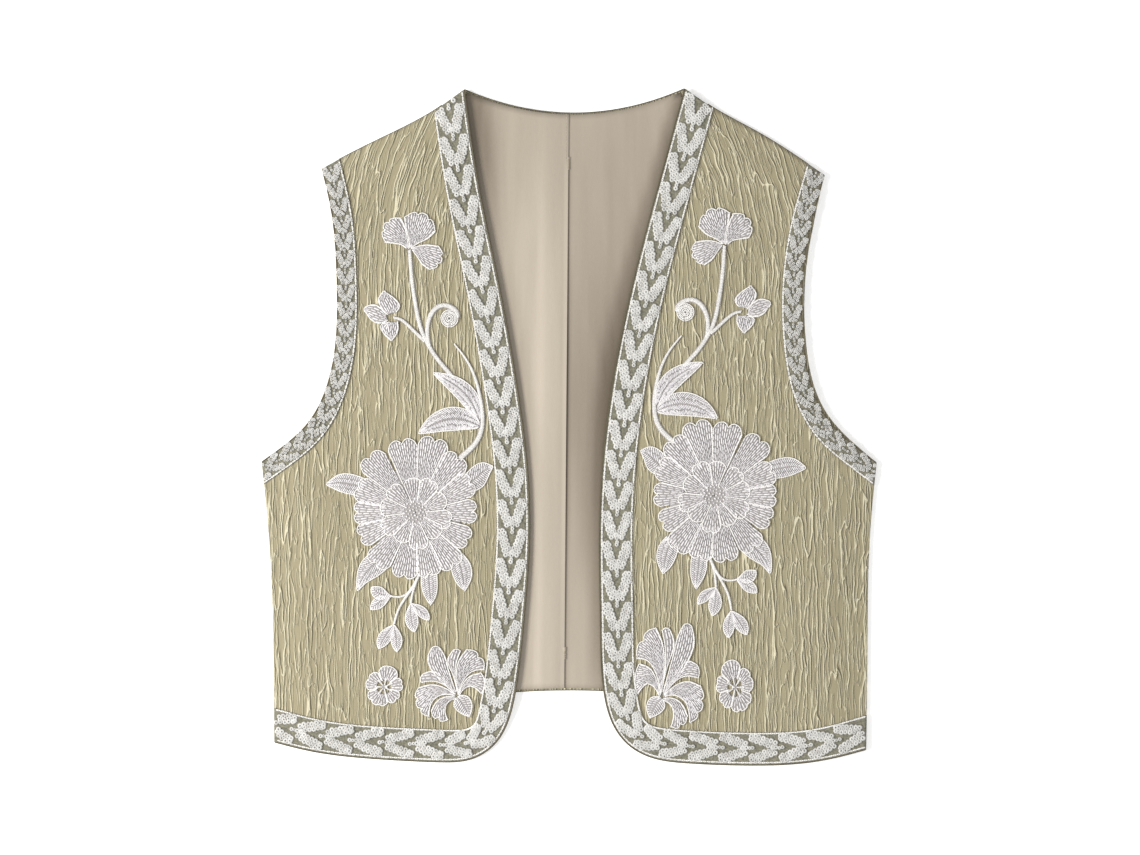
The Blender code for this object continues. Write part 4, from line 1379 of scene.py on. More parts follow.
    def on_top(self, x: Array, y: Array) -> Array:
        """World points on the pleat's upper layer."""
        top = BACK_WALL + GAP + self.wall + 2 * self.layer
        return np.stack([x, y, top + self.billow(x, y) + 0.05], axis=1)

    def build_sewing(self) -> None:
        """Edge stitches that hold the pleat shut at the top, and its bar tacks."""
        ys = np.arange(244.0, self.stitched_down_to, -2.6)
        line = self.on_top(self.fold_x(ys) - 1.6, ys)
        parts = [flat_guides(line, np.tile((0, -1.0, 0), (len(ys), 1)), (0.8, 0.25, 0.2))]
        for middle in (self.stitched_down_to, self.bar_tack_y):
            tack_y = np.linspace(middle - 4.5, middle + 4.5, 12)
            tack = self.on_top(self.fold_x(tack_y), tack_y)
            parts.append(flat_guides(tack, np.tile((1.0, 0.25, 0), (12, 1)), (1.35, 0.36, 0.3)))
        guides, room = Guides.gather(parts), self.room
        piece = room.grain.lay("lining_sewing", guides, room.lining_thread, 0.08, 0.1, 5)
        finish_piece(piece)


@dataclass
class Tape:
    """Embroidered tape along an edge: woven ground, looped chevrons and chain-stitched borders.

    Attributes:
        form: The front that it is sewn to.
        room: Shared materials and trees.
        name: Name of the CAD node that it stands for.
        curve: Outer edge of the tape.
        cuts: Directions of the seams that cut its two ends.
        width: Width of the tape.
        pitch: Length of one chevron's repeat.
        arm: Length of a chevron's arm along the tape.
        spread: Distance of the arm's far end from the middle line.
        loop: Half size of one loop.
        stations: Loops along an arm.
        tips: 1 where the chevrons point along travel and -1 against it.
        phase: Place of the first tip, as a share of the pitch.
        borders: Distance from the outer edge of each line of chain stitch.
        off_middle: Distance of the chevrons' middle line from the tape's own.
        corner: Place of the rounded corner, as a share of the edge, or 0.
        dark: Whether the padding under the loops is dark.
    """

    form: FrontForm
    room: Workroom
    name: str
    curve: Curve
    cuts: tuple[Array, Array]
    width: float
    pitch: float
    arm: float
    spread: float
    loop: float
    stations: int
    tips: int
    phase: float
    borders: tuple[float, ...]
    off_middle: float
    corner: float = 0.0
    dark: bool = False

    RUN = 4.0
    ROW_STEP = 2.4
    LOOP_RISE = 0.55
    CHAIN_STEP = 3.3
    CHAIN_RISE = 0.22
    CORD_RADIUS = 0.5
    CORNER_REACH = 24.0
    CORNER_PINCH = 0.12

    def slants(self) -> tuple[float, float]:
        """How far the two ends run along the edge for each millimetre in from it."""
        runs = []
        for share, cut in enumerate(self.cuts):
            along = self.curve.heading(share)[0]
            aside = np.array([-along[1], along[0]])
            runs.append(float(cut @ along / (cut @ aside)))
        return runs[0], runs[1]

    def within(self, along: Array, inward: Array, margin: float) -> Array:
        """Whether places are on the tape.

        Args:
            along: Millimetres along its outer edge.
            inward: Millimetres in from that edge.
            margin: How far they keep clear of the seams that cut it.

        Returns:
            Truth for each place.
        """
        start, end = self.slants()
        return (along > start * inward + margin) & (along < self.curve.length + end * inward - margin)

    def straight(self, along: Array, inward: Array, rise: Numbers) -> Array:
        """World points square to the outer edge, whatever the cut of the ends."""
        line = self.curve.left_of(along / self.curve.length, self.drawn(along, inward))
        return self.form.lift(line, rise)

    def drawn(self, along: Array, inward: Array) -> Array:
        """Distance in from the edge, less where the tape is drawn up round the corner."""
        if not self.corner:
            return inward
        away = (along / self.curve.length - self.corner) * self.curve.length / self.CORNER_REACH
        return inward * (1 - self.CORNER_PINCH * np.exp(-(away**2)))

    def place(self, along: Array, inward: Array, rise: Numbers) -> Array:
        """World points on the tape, slid near its ends to follow the seams that cut it.

        Args:
            along: Millimetres along its outer edge.
            inward: Millimetres in from that edge.
            rise: Height above the cloth.

        Returns:
            World points, in millimetres.
        """
        length, run = self.curve.length, self.RUN * self.width
        start, end = self.slants()
        near_start, near_end = 1 - smooth(along / run), 1 - smooth((length - along) / run)
        slide = (start * near_start + end * near_end) * inward
        plan = self.curve.left_of((along + slide) / length, self.drawn(along, inward))
        return self.form.lift(plan, rise)

    def headings(self, along: Array, inward: Array) -> Array:
        """World directions of travel on the tape."""
        return self.straight(along + 0.5, inward, 0.0) - self.straight(along - 0.5, inward, 0.0)

    def build(self) -> None:
        """Make the ground, the chevrons and the borders."""
        self.build_ground()
        self.build_chevrons()
        self.build_borders()
        self.build_cord()

    def build_ground(self) -> None:
        """Woven ground, rounded at its folded edges."""
        rows = int(self.curve.length / self.ROW_STEP)
        along = np.linspace(0, self.curve.length, rows)
        turn = np.array([0.0, 0.03, 0.12, 0.3])
        roll = np.array([0.35, 0.75, 1.05, BAND_WALL])
        middle = np.linspace(1.2, self.width - 1.2, 10)[1:-1]
        inward = np.concatenate([turn * 3, middle, self.width - turn[::-1] * 3])
        rise = np.concatenate([roll, np.full(len(middle), BAND_WALL), roll[::-1]])
        grid_along, grid_in = np.meshgrid(along, inward, indexing="ij")
        pucker = 0.22 * np.sin(2 * math.pi * grid_along / self.pitch * 2 + grid_in * 0.4)
        wander = Noise(9.0, 9.0, 90).at(grid_along * 0.4, grid_in)
        high = np.broadcast_to(rise, grid_in.shape) + 0.2 * wander + pucker * 0.4
        shown, under = [
            self.place(grid_along.ravel(), grid_in.ravel(), up).reshape(rows, -1, 3)
            for up in (high.ravel(), 0.12)
        ]
        piece = add_shell(f"{self.name}_tape", shown, under, self.room.tape)
        finish_piece(piece, [self.name])
        self.width * MM

    def build_cord(self) -> None:
        """Dark cord along the outer edge, with its crown above the tape's fold; its dark stands for the edge
        and for painted shadow beside it.
        """
        along = np.linspace(0.5, self.curve.length - 0.5, int(self.curve.length / 3))
        line = self.straight(along, np.full(len(along), 0.4), BAND_WALL - 0.1)
        finish_piece(tube(f"{self.name}_cord", line, self.CORD_RADIUS, self.room.cord))

    def arm_at(self, share: Array) -> tuple[Array, Array]:
        """Middle line of a chevron's arm: distance behind the tip, and place from the middle."""
        behind = 2.2 + (self.arm - 2.2 - self.loop * 2.1) * share
        return behind, self.loop * 1.1 + (self.spread - self.loop * 2.9) * share**0.85

    def chevron(self) -> Array:
        """Loops of one chevron: distance behind its tip, place from the middle, and size."""
        rows = []
        for side in (-1, 1):
            for k in range(self.stations):
                behind, middle = self.arm_at(k / (self.stations - 1))
                for file in (-1, 0, 1):
                    off = middle + file * self.loop * 0.9
                    rows.append((behind - file * 1.1, side * max(off, 0.4), 1.0 if file else 0.9))
            behind, middle = self.arm_at(1.0)
            rows.append((behind + self.loop * 1.2, side * (middle - self.loop * 0.4), 1.0))
            rows.append((behind + self.loop * 1.0, side * (middle + self.loop * 0.7), 1.02))
        rows.append((0.4, 0.0, 0.95))
        rows.append((-1.2 - 0.5 * self.loop, 0.0, 0.72))
        rows.append((-2.6 - 1.0 * self.loop, 0.0, 0.86))
        return np.array(rows)

    def build_chevrons(self) -> None:
        """Padded, looped chevrons and the knobs between them."""
        count = round(self.curve.length / self.pitch)
        pitch = self.curve.length / count
        tips = (np.arange(-1, count + 1) + self.phase) * pitch
        shape = self.chevron()
        along = (tips[:, None] - self.tips * shape[None, :, 0]).ravel()
        inward = self.width / 2 + self.off_middle + np.tile(shape[:, 1], len(tips))
        half = self.loop * np.tile(shape[:, 2], len(tips))
        wander = np.random.default_rng(17 + len(self.name)).uniform(-0.35, 0.35, (2, len(along)))
        along, inward = along + wander[0], inward + wander[1]
        keep = self.within(along, inward, self.loop * 0.8)
        along, inward, half = along[keep], inward[keep], half[keep]
        points = self.straight(along, inward, BAND_WALL + self.LOOP_RISE)
        sizes = np.stack([half, half * 0.96, np.full(len(half), 1.9)], axis=1)
        guides = Guides(points, self.headings(along, inward), np.tile(UP, (len(points), 1)), sizes)
        loops = self.room.loop.lay(f"{self.name}_loops", guides, self.room.boucle, 0.9, 0.09, 3)
        piece = join(f"{self.name}_chevrons", [loops, self.arm_pads(tips)])
        finish_piece(piece)

    def arm_pads(self, tips: Array) -> Piece:
        """Padding under the loops of every arm."""
        rows, columns = 7, 5
        pad = self.room.cord if self.dark else self.room.boucle_pad
        share, across = np.meshgrid(np.linspace(0, 1, rows), np.linspace(-1, 1, columns), indexing="ij")
        behind, middle = self.arm_at(share)
        crown = BAND_WALL - 0.2 + 0.9 * np.sqrt(1 - 0.92 * across**2) * np.sin(
            math.pi * (0.06 + 0.88 * share)
        ) ** 0.4
        points, faces, base = [], [], 0
        for tip in tips:
            for side in (-1, 1):
                along = tip - self.tips * (behind - across * 1.1)
                inward = self.width / 2 + self.off_middle + side * (middle + across * self.loop * 1.4)
                if not self.within(along, inward, 0.6).all():
                    continue
                flat = along.ravel(), inward.ravel()
                points += [self.straight(*flat, crown.ravel()), self.straight(*flat, BAND_WALL - 0.35)]
                faces.append(shell_faces(rows, columns) + base)
                base += 2 * rows * columns
        return add_mesh(f"{self.name}_pads", np.concatenate(points), np.concatenate(faces), pad)

    def build_borders(self) -> None:
        """Lines of chain stitch near the edges."""
        parts = []
        for inward in self.borders:
            along = np.arange(-self.width, self.curve.length + self.width, self.CHAIN_STEP)
            inside = np.full(len(along), inward)
            along, inside = [part[self.within(along, inside, 1.2)] for part in (along, inside)]
            points = self.straight(along, inside, BAND_WALL + self.CHAIN_RISE)
            parts.append(flat_guides(points, self.headings(along, inside), (1.9, 0.66, 0.8)))
        piece = self.room.loop.lay(
            f"{self.name}_borders", Guides.gather(parts), self.room.outline, 0.1, 0.08, 9
        )
        finish_piece(piece)


class Petal:
    """One stitched petal or leaf, read by its share along and its place across, -1 to 1."""

    def at(self, along: Array, across: Array) -> Array:
        """Front's own x and y."""
        raise NotImplementedError

    def half_width(self, along: Array) -> Array:
        """Half of its width at shares along."""
        along = np.atleast_1d(along)
        one = self.at(along, np.full(len(along), -1.0))
        return 0.5 * np.linalg.norm(one - self.at(along, np.ones(len(along))), axis=1)

    def reach(self) -> float:
        """Length along its middle."""
        line = self.at(np.linspace(0, 1, 12), np.zeros(12))
        return float(np.linalg.norm(np.diff(line, axis=0), axis=1).sum())


@dataclass
class Blade(Petal):
    """Petal along a curved middle line, with a pointed or blunt tip.

    Attributes:
        base: Front's own x and y of the point that it springs from.
        turn: Mean direction in degrees.
        length: Length along the middle.
        width: Greatest width.
        blunt: 0 for a pointed tip to 1 for a round one.
        bend: How far it turns from base to tip, in degrees.
    """

    base: Array
    turn: float
    length: float
    width: float
    blunt: float
    bend: float

    FULLEST = 0.62

    def __post_init__(self) -> None:
        """Lay out its middle line."""
        self.share = np.linspace(0, 1, 40)
        self.heading = np.radians(self.turn + self.bend * (self.share - 0.5))
        steps = np.stack([np.cos(self.heading), np.sin(self.heading)], axis=1) * self.length / 39
        self.line = self.base + np.concatenate([[[0.0, 0.0]], np.cumsum(steps[1:], axis=0)])

    def profile(self, along: Array) -> Array:
        """Share of the greatest width."""
        pointed = np.sin(math.pi * np.clip(along, 0.015, 0.999) ** 1.25) ** 0.8
        past = (along - self.FULLEST) / (1 - self.FULLEST)
        blunted = pointed + (np.sqrt(np.clip(1 - past**2, 0, 1)) - pointed) * self.blunt
        return np.where(along > self.FULLEST, blunted, pointed)

    def at(self, along: Array, across: Array) -> Array:
        """Front's own x and y."""
        middle = np.stack([np.interp(along, self.share, self.line[:, k]) for k in (0, 1)], axis=-1)
        heading = np.interp(along, self.share, self.heading)
        aside = np.stack([-np.sin(heading), np.cos(heading)], axis=-1)
        return middle + aside * (across * 0.5 * self.width * self.profile(along))[..., None]


@dataclass
class Stretched(Petal):
    """Another petal, stretched in Y about a centre."""

    petal: Petal
    centre: Array
    stretch: float

    def at(self, along: Array, across: Array) -> Array:
        """Front's own x and y."""
        off = self.petal.at(along, across) - self.centre
        return self.centre + off * (1.0, self.stretch)


@dataclass
class Strip(Petal):
    """Stem or leaf along a spline, with a width at each share of its length."""

    line: Curve
    shares: Sequence[float]
    widths: Sequence[float]
    leaf: bool = False

    def at(self, along: Array, across: Array) -> Array:
        """Front's own x and y."""
        half = 0.5 * np.interp(along, self.shares, self.widths)
        if self.leaf:
            half = half * np.sin(math.pi * np.clip(along, 0.02, 0.995) ** 0.85) ** 0.75
        flat = self.line.left_of(np.ravel(along), np.ravel(across * half))
        return flat.reshape(*np.shape(along), 2)


def scallop(across: Array, lobes: int) -> Array:
    """Depth of the notches across a lobed end, 1 at its deepest."""
    return (1 - np.abs(np.sin(0.5 * math.pi * lobes * (across + 1)))) ** 1.6


@dataclass
class Between(Petal):
    """Petal between two curved sides, with a full or lobed end.

    Attributes:
        one: One side, from base to tip.
        two: The other side.
        fullness: How far its end swells past the line between the sides' ends.
        lobes: Number of lobes in its end.
    """

    one: Curve
    two: Curve
    fullness: float
    lobes: int

    NOTCH = 2.6
    WIDENING = 1.05

    def __post_init__(self) -> None:
        """Find the way that its end faces."""
        base = 0.5 * (self.one.at(0)[0] + self.two.at(0)[0])
        ends = self.one.at(1)[0], self.two.at(1)[0]
        across = ends[1] - ends[0]
        out = np.array([-across[1], across[0]]) / max(float(np.linalg.norm(across)), 0.01)
        self.out = out * math.copysign(1.0, float(out @ (0.5 * (ends[0] + ends[1]) - base)))

    def at(self, along: Array, across: Array) -> Array:
        """Front's own x and y."""
        share = (0.5 + 0.5 * self.WIDENING * np.ravel(across))[:, None]
        flat = self.one.at(np.ravel(along)) * (1 - share) + self.two.at(np.ravel(along)) * share
        swell = self.fullness * (1 - np.abs(across) ** 2.4)
        if self.lobes > 1:
            swell = swell - self.NOTCH * scallop(across, self.lobes) * (1 - np.abs(across) ** 6)
        swell = swell * np.clip(along, 0, 1) ** 3
        return flat.reshape(*np.shape(along), 2) + swell[..., None] * self.out


@dataclass
class Fan(Petal):
    """Petal that widens out from a centre to a round or lobed end.

    Attributes:
        centre: Front's own x and y of the point that it opens from.
        turn: Direction of its middle in degrees.
        spread: Half of the angle that it opens to, in degrees.
        start: Distance from the centre to where it starts.
        length: Distance from the centre to its end.
        round_off: Share of the length that its corners lack.
        lobes: Number of lobes in its end.
        notch: Depth of the notches between lobes, as a share of the length.
        waist: Share of the spread that it has at its start.
        oval: Stretch in Y about the centre.
    """

    centre: Array
    turn: float
    spread: float
    start: float
    length: float
    round_off: float = 0.0
    lobes: int = 0
    notch: float = 0.0
    waist: float = 1.0
    oval: float = 1.0

    def at(self, along: Array, across: Array) -> Array:
        """Front's own x and y."""
        end = 1 - self.round_off * np.abs(across) ** 2.6
        if self.lobes:
            end = end - self.notch * scallop(across, self.lobes)
        radius = self.start + (self.length * end - self.start) * along
        open_to = self.waist + (1 - self.waist) * np.clip(along, 0, 1) ** 0.8
        angle = math.radians(self.turn) + across * math.radians(self.spread) * open_to
        off = np.stack([radius * np.cos(angle), radius * np.sin(angle) * self.oval], axis=-1)
        return self.centre + off


class Fill(Enum):
    """Ways to fill a petal with thread."""

    LENGTHWISE = "lengthwise"
    VEINED = "veined"
    ACROSS = "across"


class Rim(Enum):
    """How far a twisted outline goes round a petal."""

    ROUND = "round"
    SIDE = "one side and the end"
    END = "end"
    NONE = "none"


class Embroiderer:
    """Pads and stitches of one motif, gathered petal by petal and then made."""

    STITCH_WIDTH = 1.7
    STITCH_LENGTH = 5.2
    VEIN_STEP = 1.45
    SATIN_STEP = 0.85
    WIDE_LEAF = 4.2
    PAD_SINK = 0.22
    PAD_BASE = -0.25
    RIM_STEP = 1.6
    RIM_RISE = 0.36
    RIM_LEAN = math.radians(13)
    SHORTEST = 0.4

    def __init__(self, form: FrontForm, room: Workroom, name: str, seed: int) -> None:
        """Start a motif.

        Args:
            form: The front that it is worked on.
            room: Shared materials and trees.
            name: Name of the CAD node that it stands for.
            seed: Fixed seed of its small unevenness.
        """
        self.form, self.room, self.name = form, room, name
        self.random = np.random.default_rng(seed)
        self.points: list[Array] = []
        self.faces: list[Array] = []
        self.base = 0
        self.grains: list[Guides] = []
        self.rims: list[Guides] = []
        self.knots: list[Guides] = []

    def crown(self, along: Array, across: Array, edge: float, rise: float) -> Array:
        """Height of a padded petal above the cloth."""
        over = np.clip(1 - np.abs(across) ** 2.4, 0, 1) ** 0.6
        ends = smooth(along / 0.1) * smooth((1 - along) / 0.07)
        return edge + (rise - edge) * over * (0.35 + 0.65 * ends)

    def add_pad(self, petal: Petal, edge: float, rise: float, rows: int = 14, columns: int = 9) -> None:
        """Add a petal's raised padding.

        Args:
            petal: Its form.
            edge: Height of its rim above the cloth.
            rise: Height of its middle.
            rows: Points along it.
            columns: Points across it.
        """
        places = np.sin(np.linspace(-0.5, 0.5, columns) * math.pi)
        along, across = np.meshgrid(np.linspace(0, 1, rows), places, indexing="ij")
        plan = petal.at(along, across)
        shown = self.form.lift(plan, self.crown(along, across, edge, rise) - self.PAD_SINK).reshape(-1, 3)
        under = self.form.lift(plan, self.PAD_BASE).reshape(-1, 3)
        self.points += [shown, under]
        self.faces.append(shell_faces(rows, columns) + self.base)
        self.base += 2 * len(shown)

    def run(
        self, petal: Petal, start: tuple[Array, Array], end: tuple[Array, Array], edge: float, rise: float,
        thickness: Numbers,
    ) -> Guides:
        """Lay straight stitches between pairs of places on a petal.

        Args:
            petal: Its form.
            start: Share along and place across of each stitch's start.
            end: The same of its end.
            edge: Height of the petal's rim above the cloth.
            rise: Height of its middle.
            thickness: Half thickness of the stitches.

        Returns:
            Guides of the stitches, without those too short to see.
        """
        first, last = [self.form.lift(petal.at(*at), self.crown(*at, edge, rise)) for at in (start, end)]
        span = last - first
        length = np.linalg.norm(span, axis=1)
        keep = length > self.SHORTEST
        middle = 0.5 * (first + last)
        middle[:, 2] += 0.1
        thick = np.broadcast_to(thickness, length.shape)
        half = np.stack([0.54 * length + 0.1, thick, np.full(len(length), 0.45)], axis=1)
        return Guides(middle[keep], span[keep], np.tile(UP, (len(length), 1))[keep], half[keep])

    def fill_lengthwise(self, petal: Petal, edge: float, rise: float) -> None:
        """Staggered stitches that run from base to tip."""
        widest = float(petal.half_width(np.linspace(0.1, 0.95, 12)).max())
        files = max(3, int(2 * widest / self.STITCH_WIDTH))
        steps = max(2, round(petal.reach() / self.STITCH_LENGTH))
        for k in range(files):
            across = -0.93 + 1.86 * k / (files - 1)
            offset = (0.0, 0.5, 0.25, 0.75)[k % 4]
            cuts = (np.arange(-1, steps + 1) + offset + self.random.uniform(-0.1, 0.1)) / steps
            start, end = np.clip(cuts[:-1], 0.02, 0.98), np.clip(cuts[1:], 0.02, 0.98)
            room = 2 * petal.half_width(0.5 * (start + end)) / files
            keep = (end - start > 0.02) & ((room > 0.6) | (k % 2 == 0)) & ((room > 0.25) | (k % 4 == 0))
            start, end, room = start[keep], end[keep], room[keep]
            if len(start):
                level = np.full(len(start), across)
                thick = np.clip(0.4 * room, 0.3, 0.66)
                self.grains.append(self.run(petal, (start, level), (end, level), edge, rise, thick))

    def fill_veined(self, petal: Petal, edge: float, rise: float) -> None:
        """Slanting stitches from a middle vein out to both edges."""
        count = max(4, int(petal.reach() / self.VEIN_STEP))
        along = np.linspace(0.0, 0.93, count)
        out = np.minimum(along + 0.12, 0.985)
        for side in (-1.0, 1.0):
            near, far = np.full(count, 0.04 * side), np.full(count, 0.96 * side)
            wide = petal.half_width(0.5 * (along + out)) > self.WIDE_LEAF
            split = 0.5 + self.random.uniform(-0.12, 0.12, count)
            cut_along = along + (out - along) * np.where(wide, split, 1.0)
            cut_across = near + (far - near) * np.where(wide, split, 1.0)
            self.grains.append(self.run(petal, (along, near), (cut_along, cut_across), edge, rise, 0.56))
            if wide.any():
                first, last = (cut_along[wide], cut_across[wide]), (out[wide], far[wide])
                self.grains.append(self.run(petal, first, last, edge, rise, 0.56))

    def fill_across(self, petal: Petal, rise: float) -> None:
        """Satin stitches laid side by side across a stem, a little slanted."""
        count = max(4, int(petal.reach() / self.SATIN_STEP))
        along = np.linspace(0.0, 0.985, count)
        lean = 1.2 / petal.reach()
        level = np.full(count, 0.86)
        high = rise - 0.1
        first, last = (along, -level), (np.minimum(along + lean, 1.0), level)
        self.rims.append(self.run(petal, first, last, high, high, 0.46))

    def rim(self, petal: Petal, edge: float, kind: Rim = Rim.ROUND) -> None:
        """Twisted outline round a petal."""
        side = np.linspace(0.03, 1, 40)
        end = np.linspace(-1, 1, 60)
        along, across = np.ones(60), end
        if kind is not Rim.END:
            along, across = np.concatenate([side, along]), np.concatenate([np.full(40, -1.0), across])
        if kind is Rim.ROUND:
            along, across = np.concatenate([along, side[::-1]]), np.concatenate([across, np.ones(40)])
        line = petal.at(along, across * 0.97)
        steps = np.linalg.norm(np.diff(line, axis=0), axis=1)
        lengths = np.concatenate([[0.0], np.cumsum(steps)])
        places = np.arange(0, lengths[-1], self.RIM_STEP)
        points, ahead = [
            np.stack([np.interp(at, lengths, line[:, k]) for k in (0, 1)], axis=1)
            for at in (places, places + 0.6)
        ]
        here, there = [self.form.lift(plan, edge + self.RIM_RISE) for plan in (points, ahead)]
        span = there - here
        keep = np.linalg.norm(span, axis=1) > 0.05
        cos, sin = math.cos(self.RIM_LEAN), math.sin(self.RIM_LEAN)
        x, y, z = span.T
        turned = np.stack([x * cos - y * sin, x * sin + y * cos, z], axis=1)
        self.rims.append(flat_guides(here[keep], turned[keep], (1.45, 0.5, 0.55)))

    def add(
        self, petal: Petal, fill: Fill, edge: float = 0.75, rise: float = 1.5, rim: Rim = Rim.ROUND
    ) -> None:
        """Work one petal.

        Args:
            petal: Its form.
            fill: How the thread fills it.
            edge: Height of its rim above the cloth.
            rise: Height of its middle.
            rim: How far a twisted outline goes round it.
        """
        self.add_pad(petal, edge, rise)
        if fill is Fill.ACROSS:
            self.fill_across(petal, rise)
        else:
            work = self.fill_lengthwise if fill is Fill.LENGTHWISE else self.fill_veined
            work(petal, edge, rise)
        if rim is not Rim.NONE:
            self.rim(petal, edge, rim)

    def add_knots(self, centre: Array, radius: float, count: int, height: float, size: float) -> None:
        """Fill a disc with knots in a spiral.

        Args:
            centre: Front's own x and y of its middle.
            radius: Its radius.
            count: Number of knots.
            height: Height of the knots above the cloth.
            size: Half width of a knot.
        """
        k = np.arange(count)
        angle = k * math.pi * (3 - math.sqrt(5))
        reach = radius * np.sqrt((k + 0.5) / count)
        plan = centre + np.stack([reach * np.cos(angle), reach * np.sin(angle)], axis=1)
        points = self.form.lift(plan, height)
        headings = np.stack([np.cos(3 * angle), np.sin(3 * angle), np.zeros(count)], axis=1)
        self.knots.append(flat_guides(points, headings, (size, size * 0.85, size * 0.8)))

    def make(self) -> None:
        """Turn what was gathered into one piece."""
        room, points, faces = self.room, np.concatenate(self.points), np.concatenate(self.faces)
        parts = [add_mesh(f"{self.name}_pads", points, faces, room.padding)]
        for label, work, guides, thread, *spreads in (
            ("stitches", room.grain, self.grains, room.white, 0.08, 0.1, 11),
            ("rims", room.grain, self.rims, room.outline, 0.05, 0.06, 7),
            ("knots", room.knot, self.knots, room.white, 0.5, 0.15, 4),
        ):
            if guides:
                parts.append(work.lay(f"{self.name}_{label}", Guides.gather(guides), thread, *spreads))
        finish_piece(join(f"{self.name}_embroidery", parts), [self.name])


@dataclass(frozen=True)
class Stem:
    """Stitched stem: its node's name, widths at start, middle and end, and middle line."""

    name: str
    widths: tuple[float, float, float]
    points: tuple[Place, ...]


@dataclass(frozen=True)
class Bud:
    """Two small leaves on one point: direction, length, width and bend of each."""

    name: str
    base: Place
    leaves: tuple[tuple[float, float, float, float], ...]


@dataclass(frozen=True)
class Leaflet:
    """Petal drawn by its two sides, from base to tip, and by the fullness and lobes of its end."""

    one: tuple[Place, ...]
    two: tuple[Place, ...]
    fullness: float
    lobes: int = 1


FAN_PETALS = (
    Leaflet(
        ((125.8, 139.5), (127, 148.5), (128.8, 156.5), (132, 163)),
        ((127, 139), (130.5, 142), (137, 143.6), (143.5, 144.5)), 8.2, 3,
    ),
    Leaflet(
        ((125, 140), (125.8, 148.5), (127.8, 157), (128.8, 163.5)),
        ((124, 139.5), (118, 143.8), (111, 147.3), (105.5, 152.5)), 9.4, 3,
    ),
    Leaflet(
        ((123, 139.5), (117, 141.5), (109.5, 142), (102.5, 141)),
        ((123, 138.5), (119, 133.3), (114.5, 127), (109.5, 123.5)), 6.4, 3,
    ),
)
TREFOIL_PETALS = (
    Leaflet(
        ((142, 88), (147, 94), (149, 99.5), (146, 105)),
        ((136, 89.5), (133, 94), (137.5, 101), (143.5, 105)), 1.2,
    ),
    Leaflet(
        ((142, 83.5), (147.5, 81.5), (154, 83.5), (158.5, 89.5)),
        ((143, 87.5), (147.5, 93), (153, 95.5), (159, 94)), 1.4,
    ),
    Leaflet(
        ((134.5, 82.5), (134, 77.5), (135.5, 72.5), (138, 69)),
        ((141, 82), (147, 79.5), (145, 73.5), (140.5, 69)), 1,
    ),
)
SEPALS = (
    Leaflet(
        ((157.5, -41), (168.5, -37), (178.5, -36.5), (189, -43)),
        ((159.5, -52.5), (172, -51.5), (180.5, -49), (189, -45)), 0.3,
    ),
    Leaflet(
        ((84, -40.5), (75.5, -31), (67.5, -27.5), (60.5, -30)),
        ((78.5, -50.5), (67.5, -45), (63.5, -37.5), (60.5, -31.5)), 0.3,
    ),
    Leaflet(
        ((94.5, -98), (91, -114.5), (86.5, -123), (82.5, -126.5)),
        ((85.5, -97), (78.5, -105.5), (77, -116.5), (81.5, -126.5)), 0.3,
    ),
    Leaflet(
        ((115.5, -113.5), (115, -125.5), (112, -133), (109, -137.5)),
        ((104, -112), (103.5, -122), (105, -132), (108, -137.5)), 0.3,
    ),
    Leaflet(
        ((152, -96.5), (161, -103.5), (165.5, -114.5), (166, -125.5)),
        ((141.5, -108.5), (150, -115.5), (159, -121), (164.5, -126.5)), 0.3,
    ),
)
PALMETTE_PETALS = (
    Leaflet(
        ((89, -208), (97.5, -200), (106, -191), (110.5, -179), (108, -172.5)),
        ((88.5, -207.5), (92.5, -196), (95.5, -186), (98, -177.5), (101, -172.5)), 2,
    ),
    Leaflet(
        ((88.5, -202.5), (92, -190.5), (95, -180.5), (91.5, -174.5)),
        ((88.5, -202.5), (89.5, -189.5), (88, -181), (85.5, -174.5)), 1.8,
    ),
    Leaflet(
        ((88, -206.5), (88.5, -192.5), (86, -181), (80, -173)),
        ((87.5, -208), (82.5, -196), (75, -189.5), (67, -188.5)), 4.6, 2,
    ),
    Leaflet(
        ((87, -208), (83.5, -200), (78, -194), (69.5, -191.5)),
        ((86.5, -209), (83, -204), (77.5, -201.5), (69.5, -207)), 2.8,
    ),
    Leaflet(
        ((90.5, -205.5), (99, -195), (107.5, -190), (114, -192)),
        ((90.5, -206.5), (98.5, -200), (106.5, -197.5), (115.5, -198.5)), 1.4,
    ),
    Leaflet(
        ((89.5, -208), (98.5, -202.5), (108, -200.5), (118, -203)),
        ((89.5, -209), (99, -208), (107, -213), (110, -225)), 5.8, 3,
    ),
    Leaflet(
        ((89.5, -210), (97, -210), (104, -214), (108, -221.5)),
        ((89, -211), (94.5, -213.5), (97.5, -220.5), (95.5, -228)), 3.4, 2,
    ),
)
DROP_LEAF = Leaflet(
    ((89, -211), (90.3, -215.7), (87, -221), (79.3, -225.2)),
    ((87, -209), (80.6, -209.3), (76.8, -214.6), (78.5, -225.2)), 0.3,
)
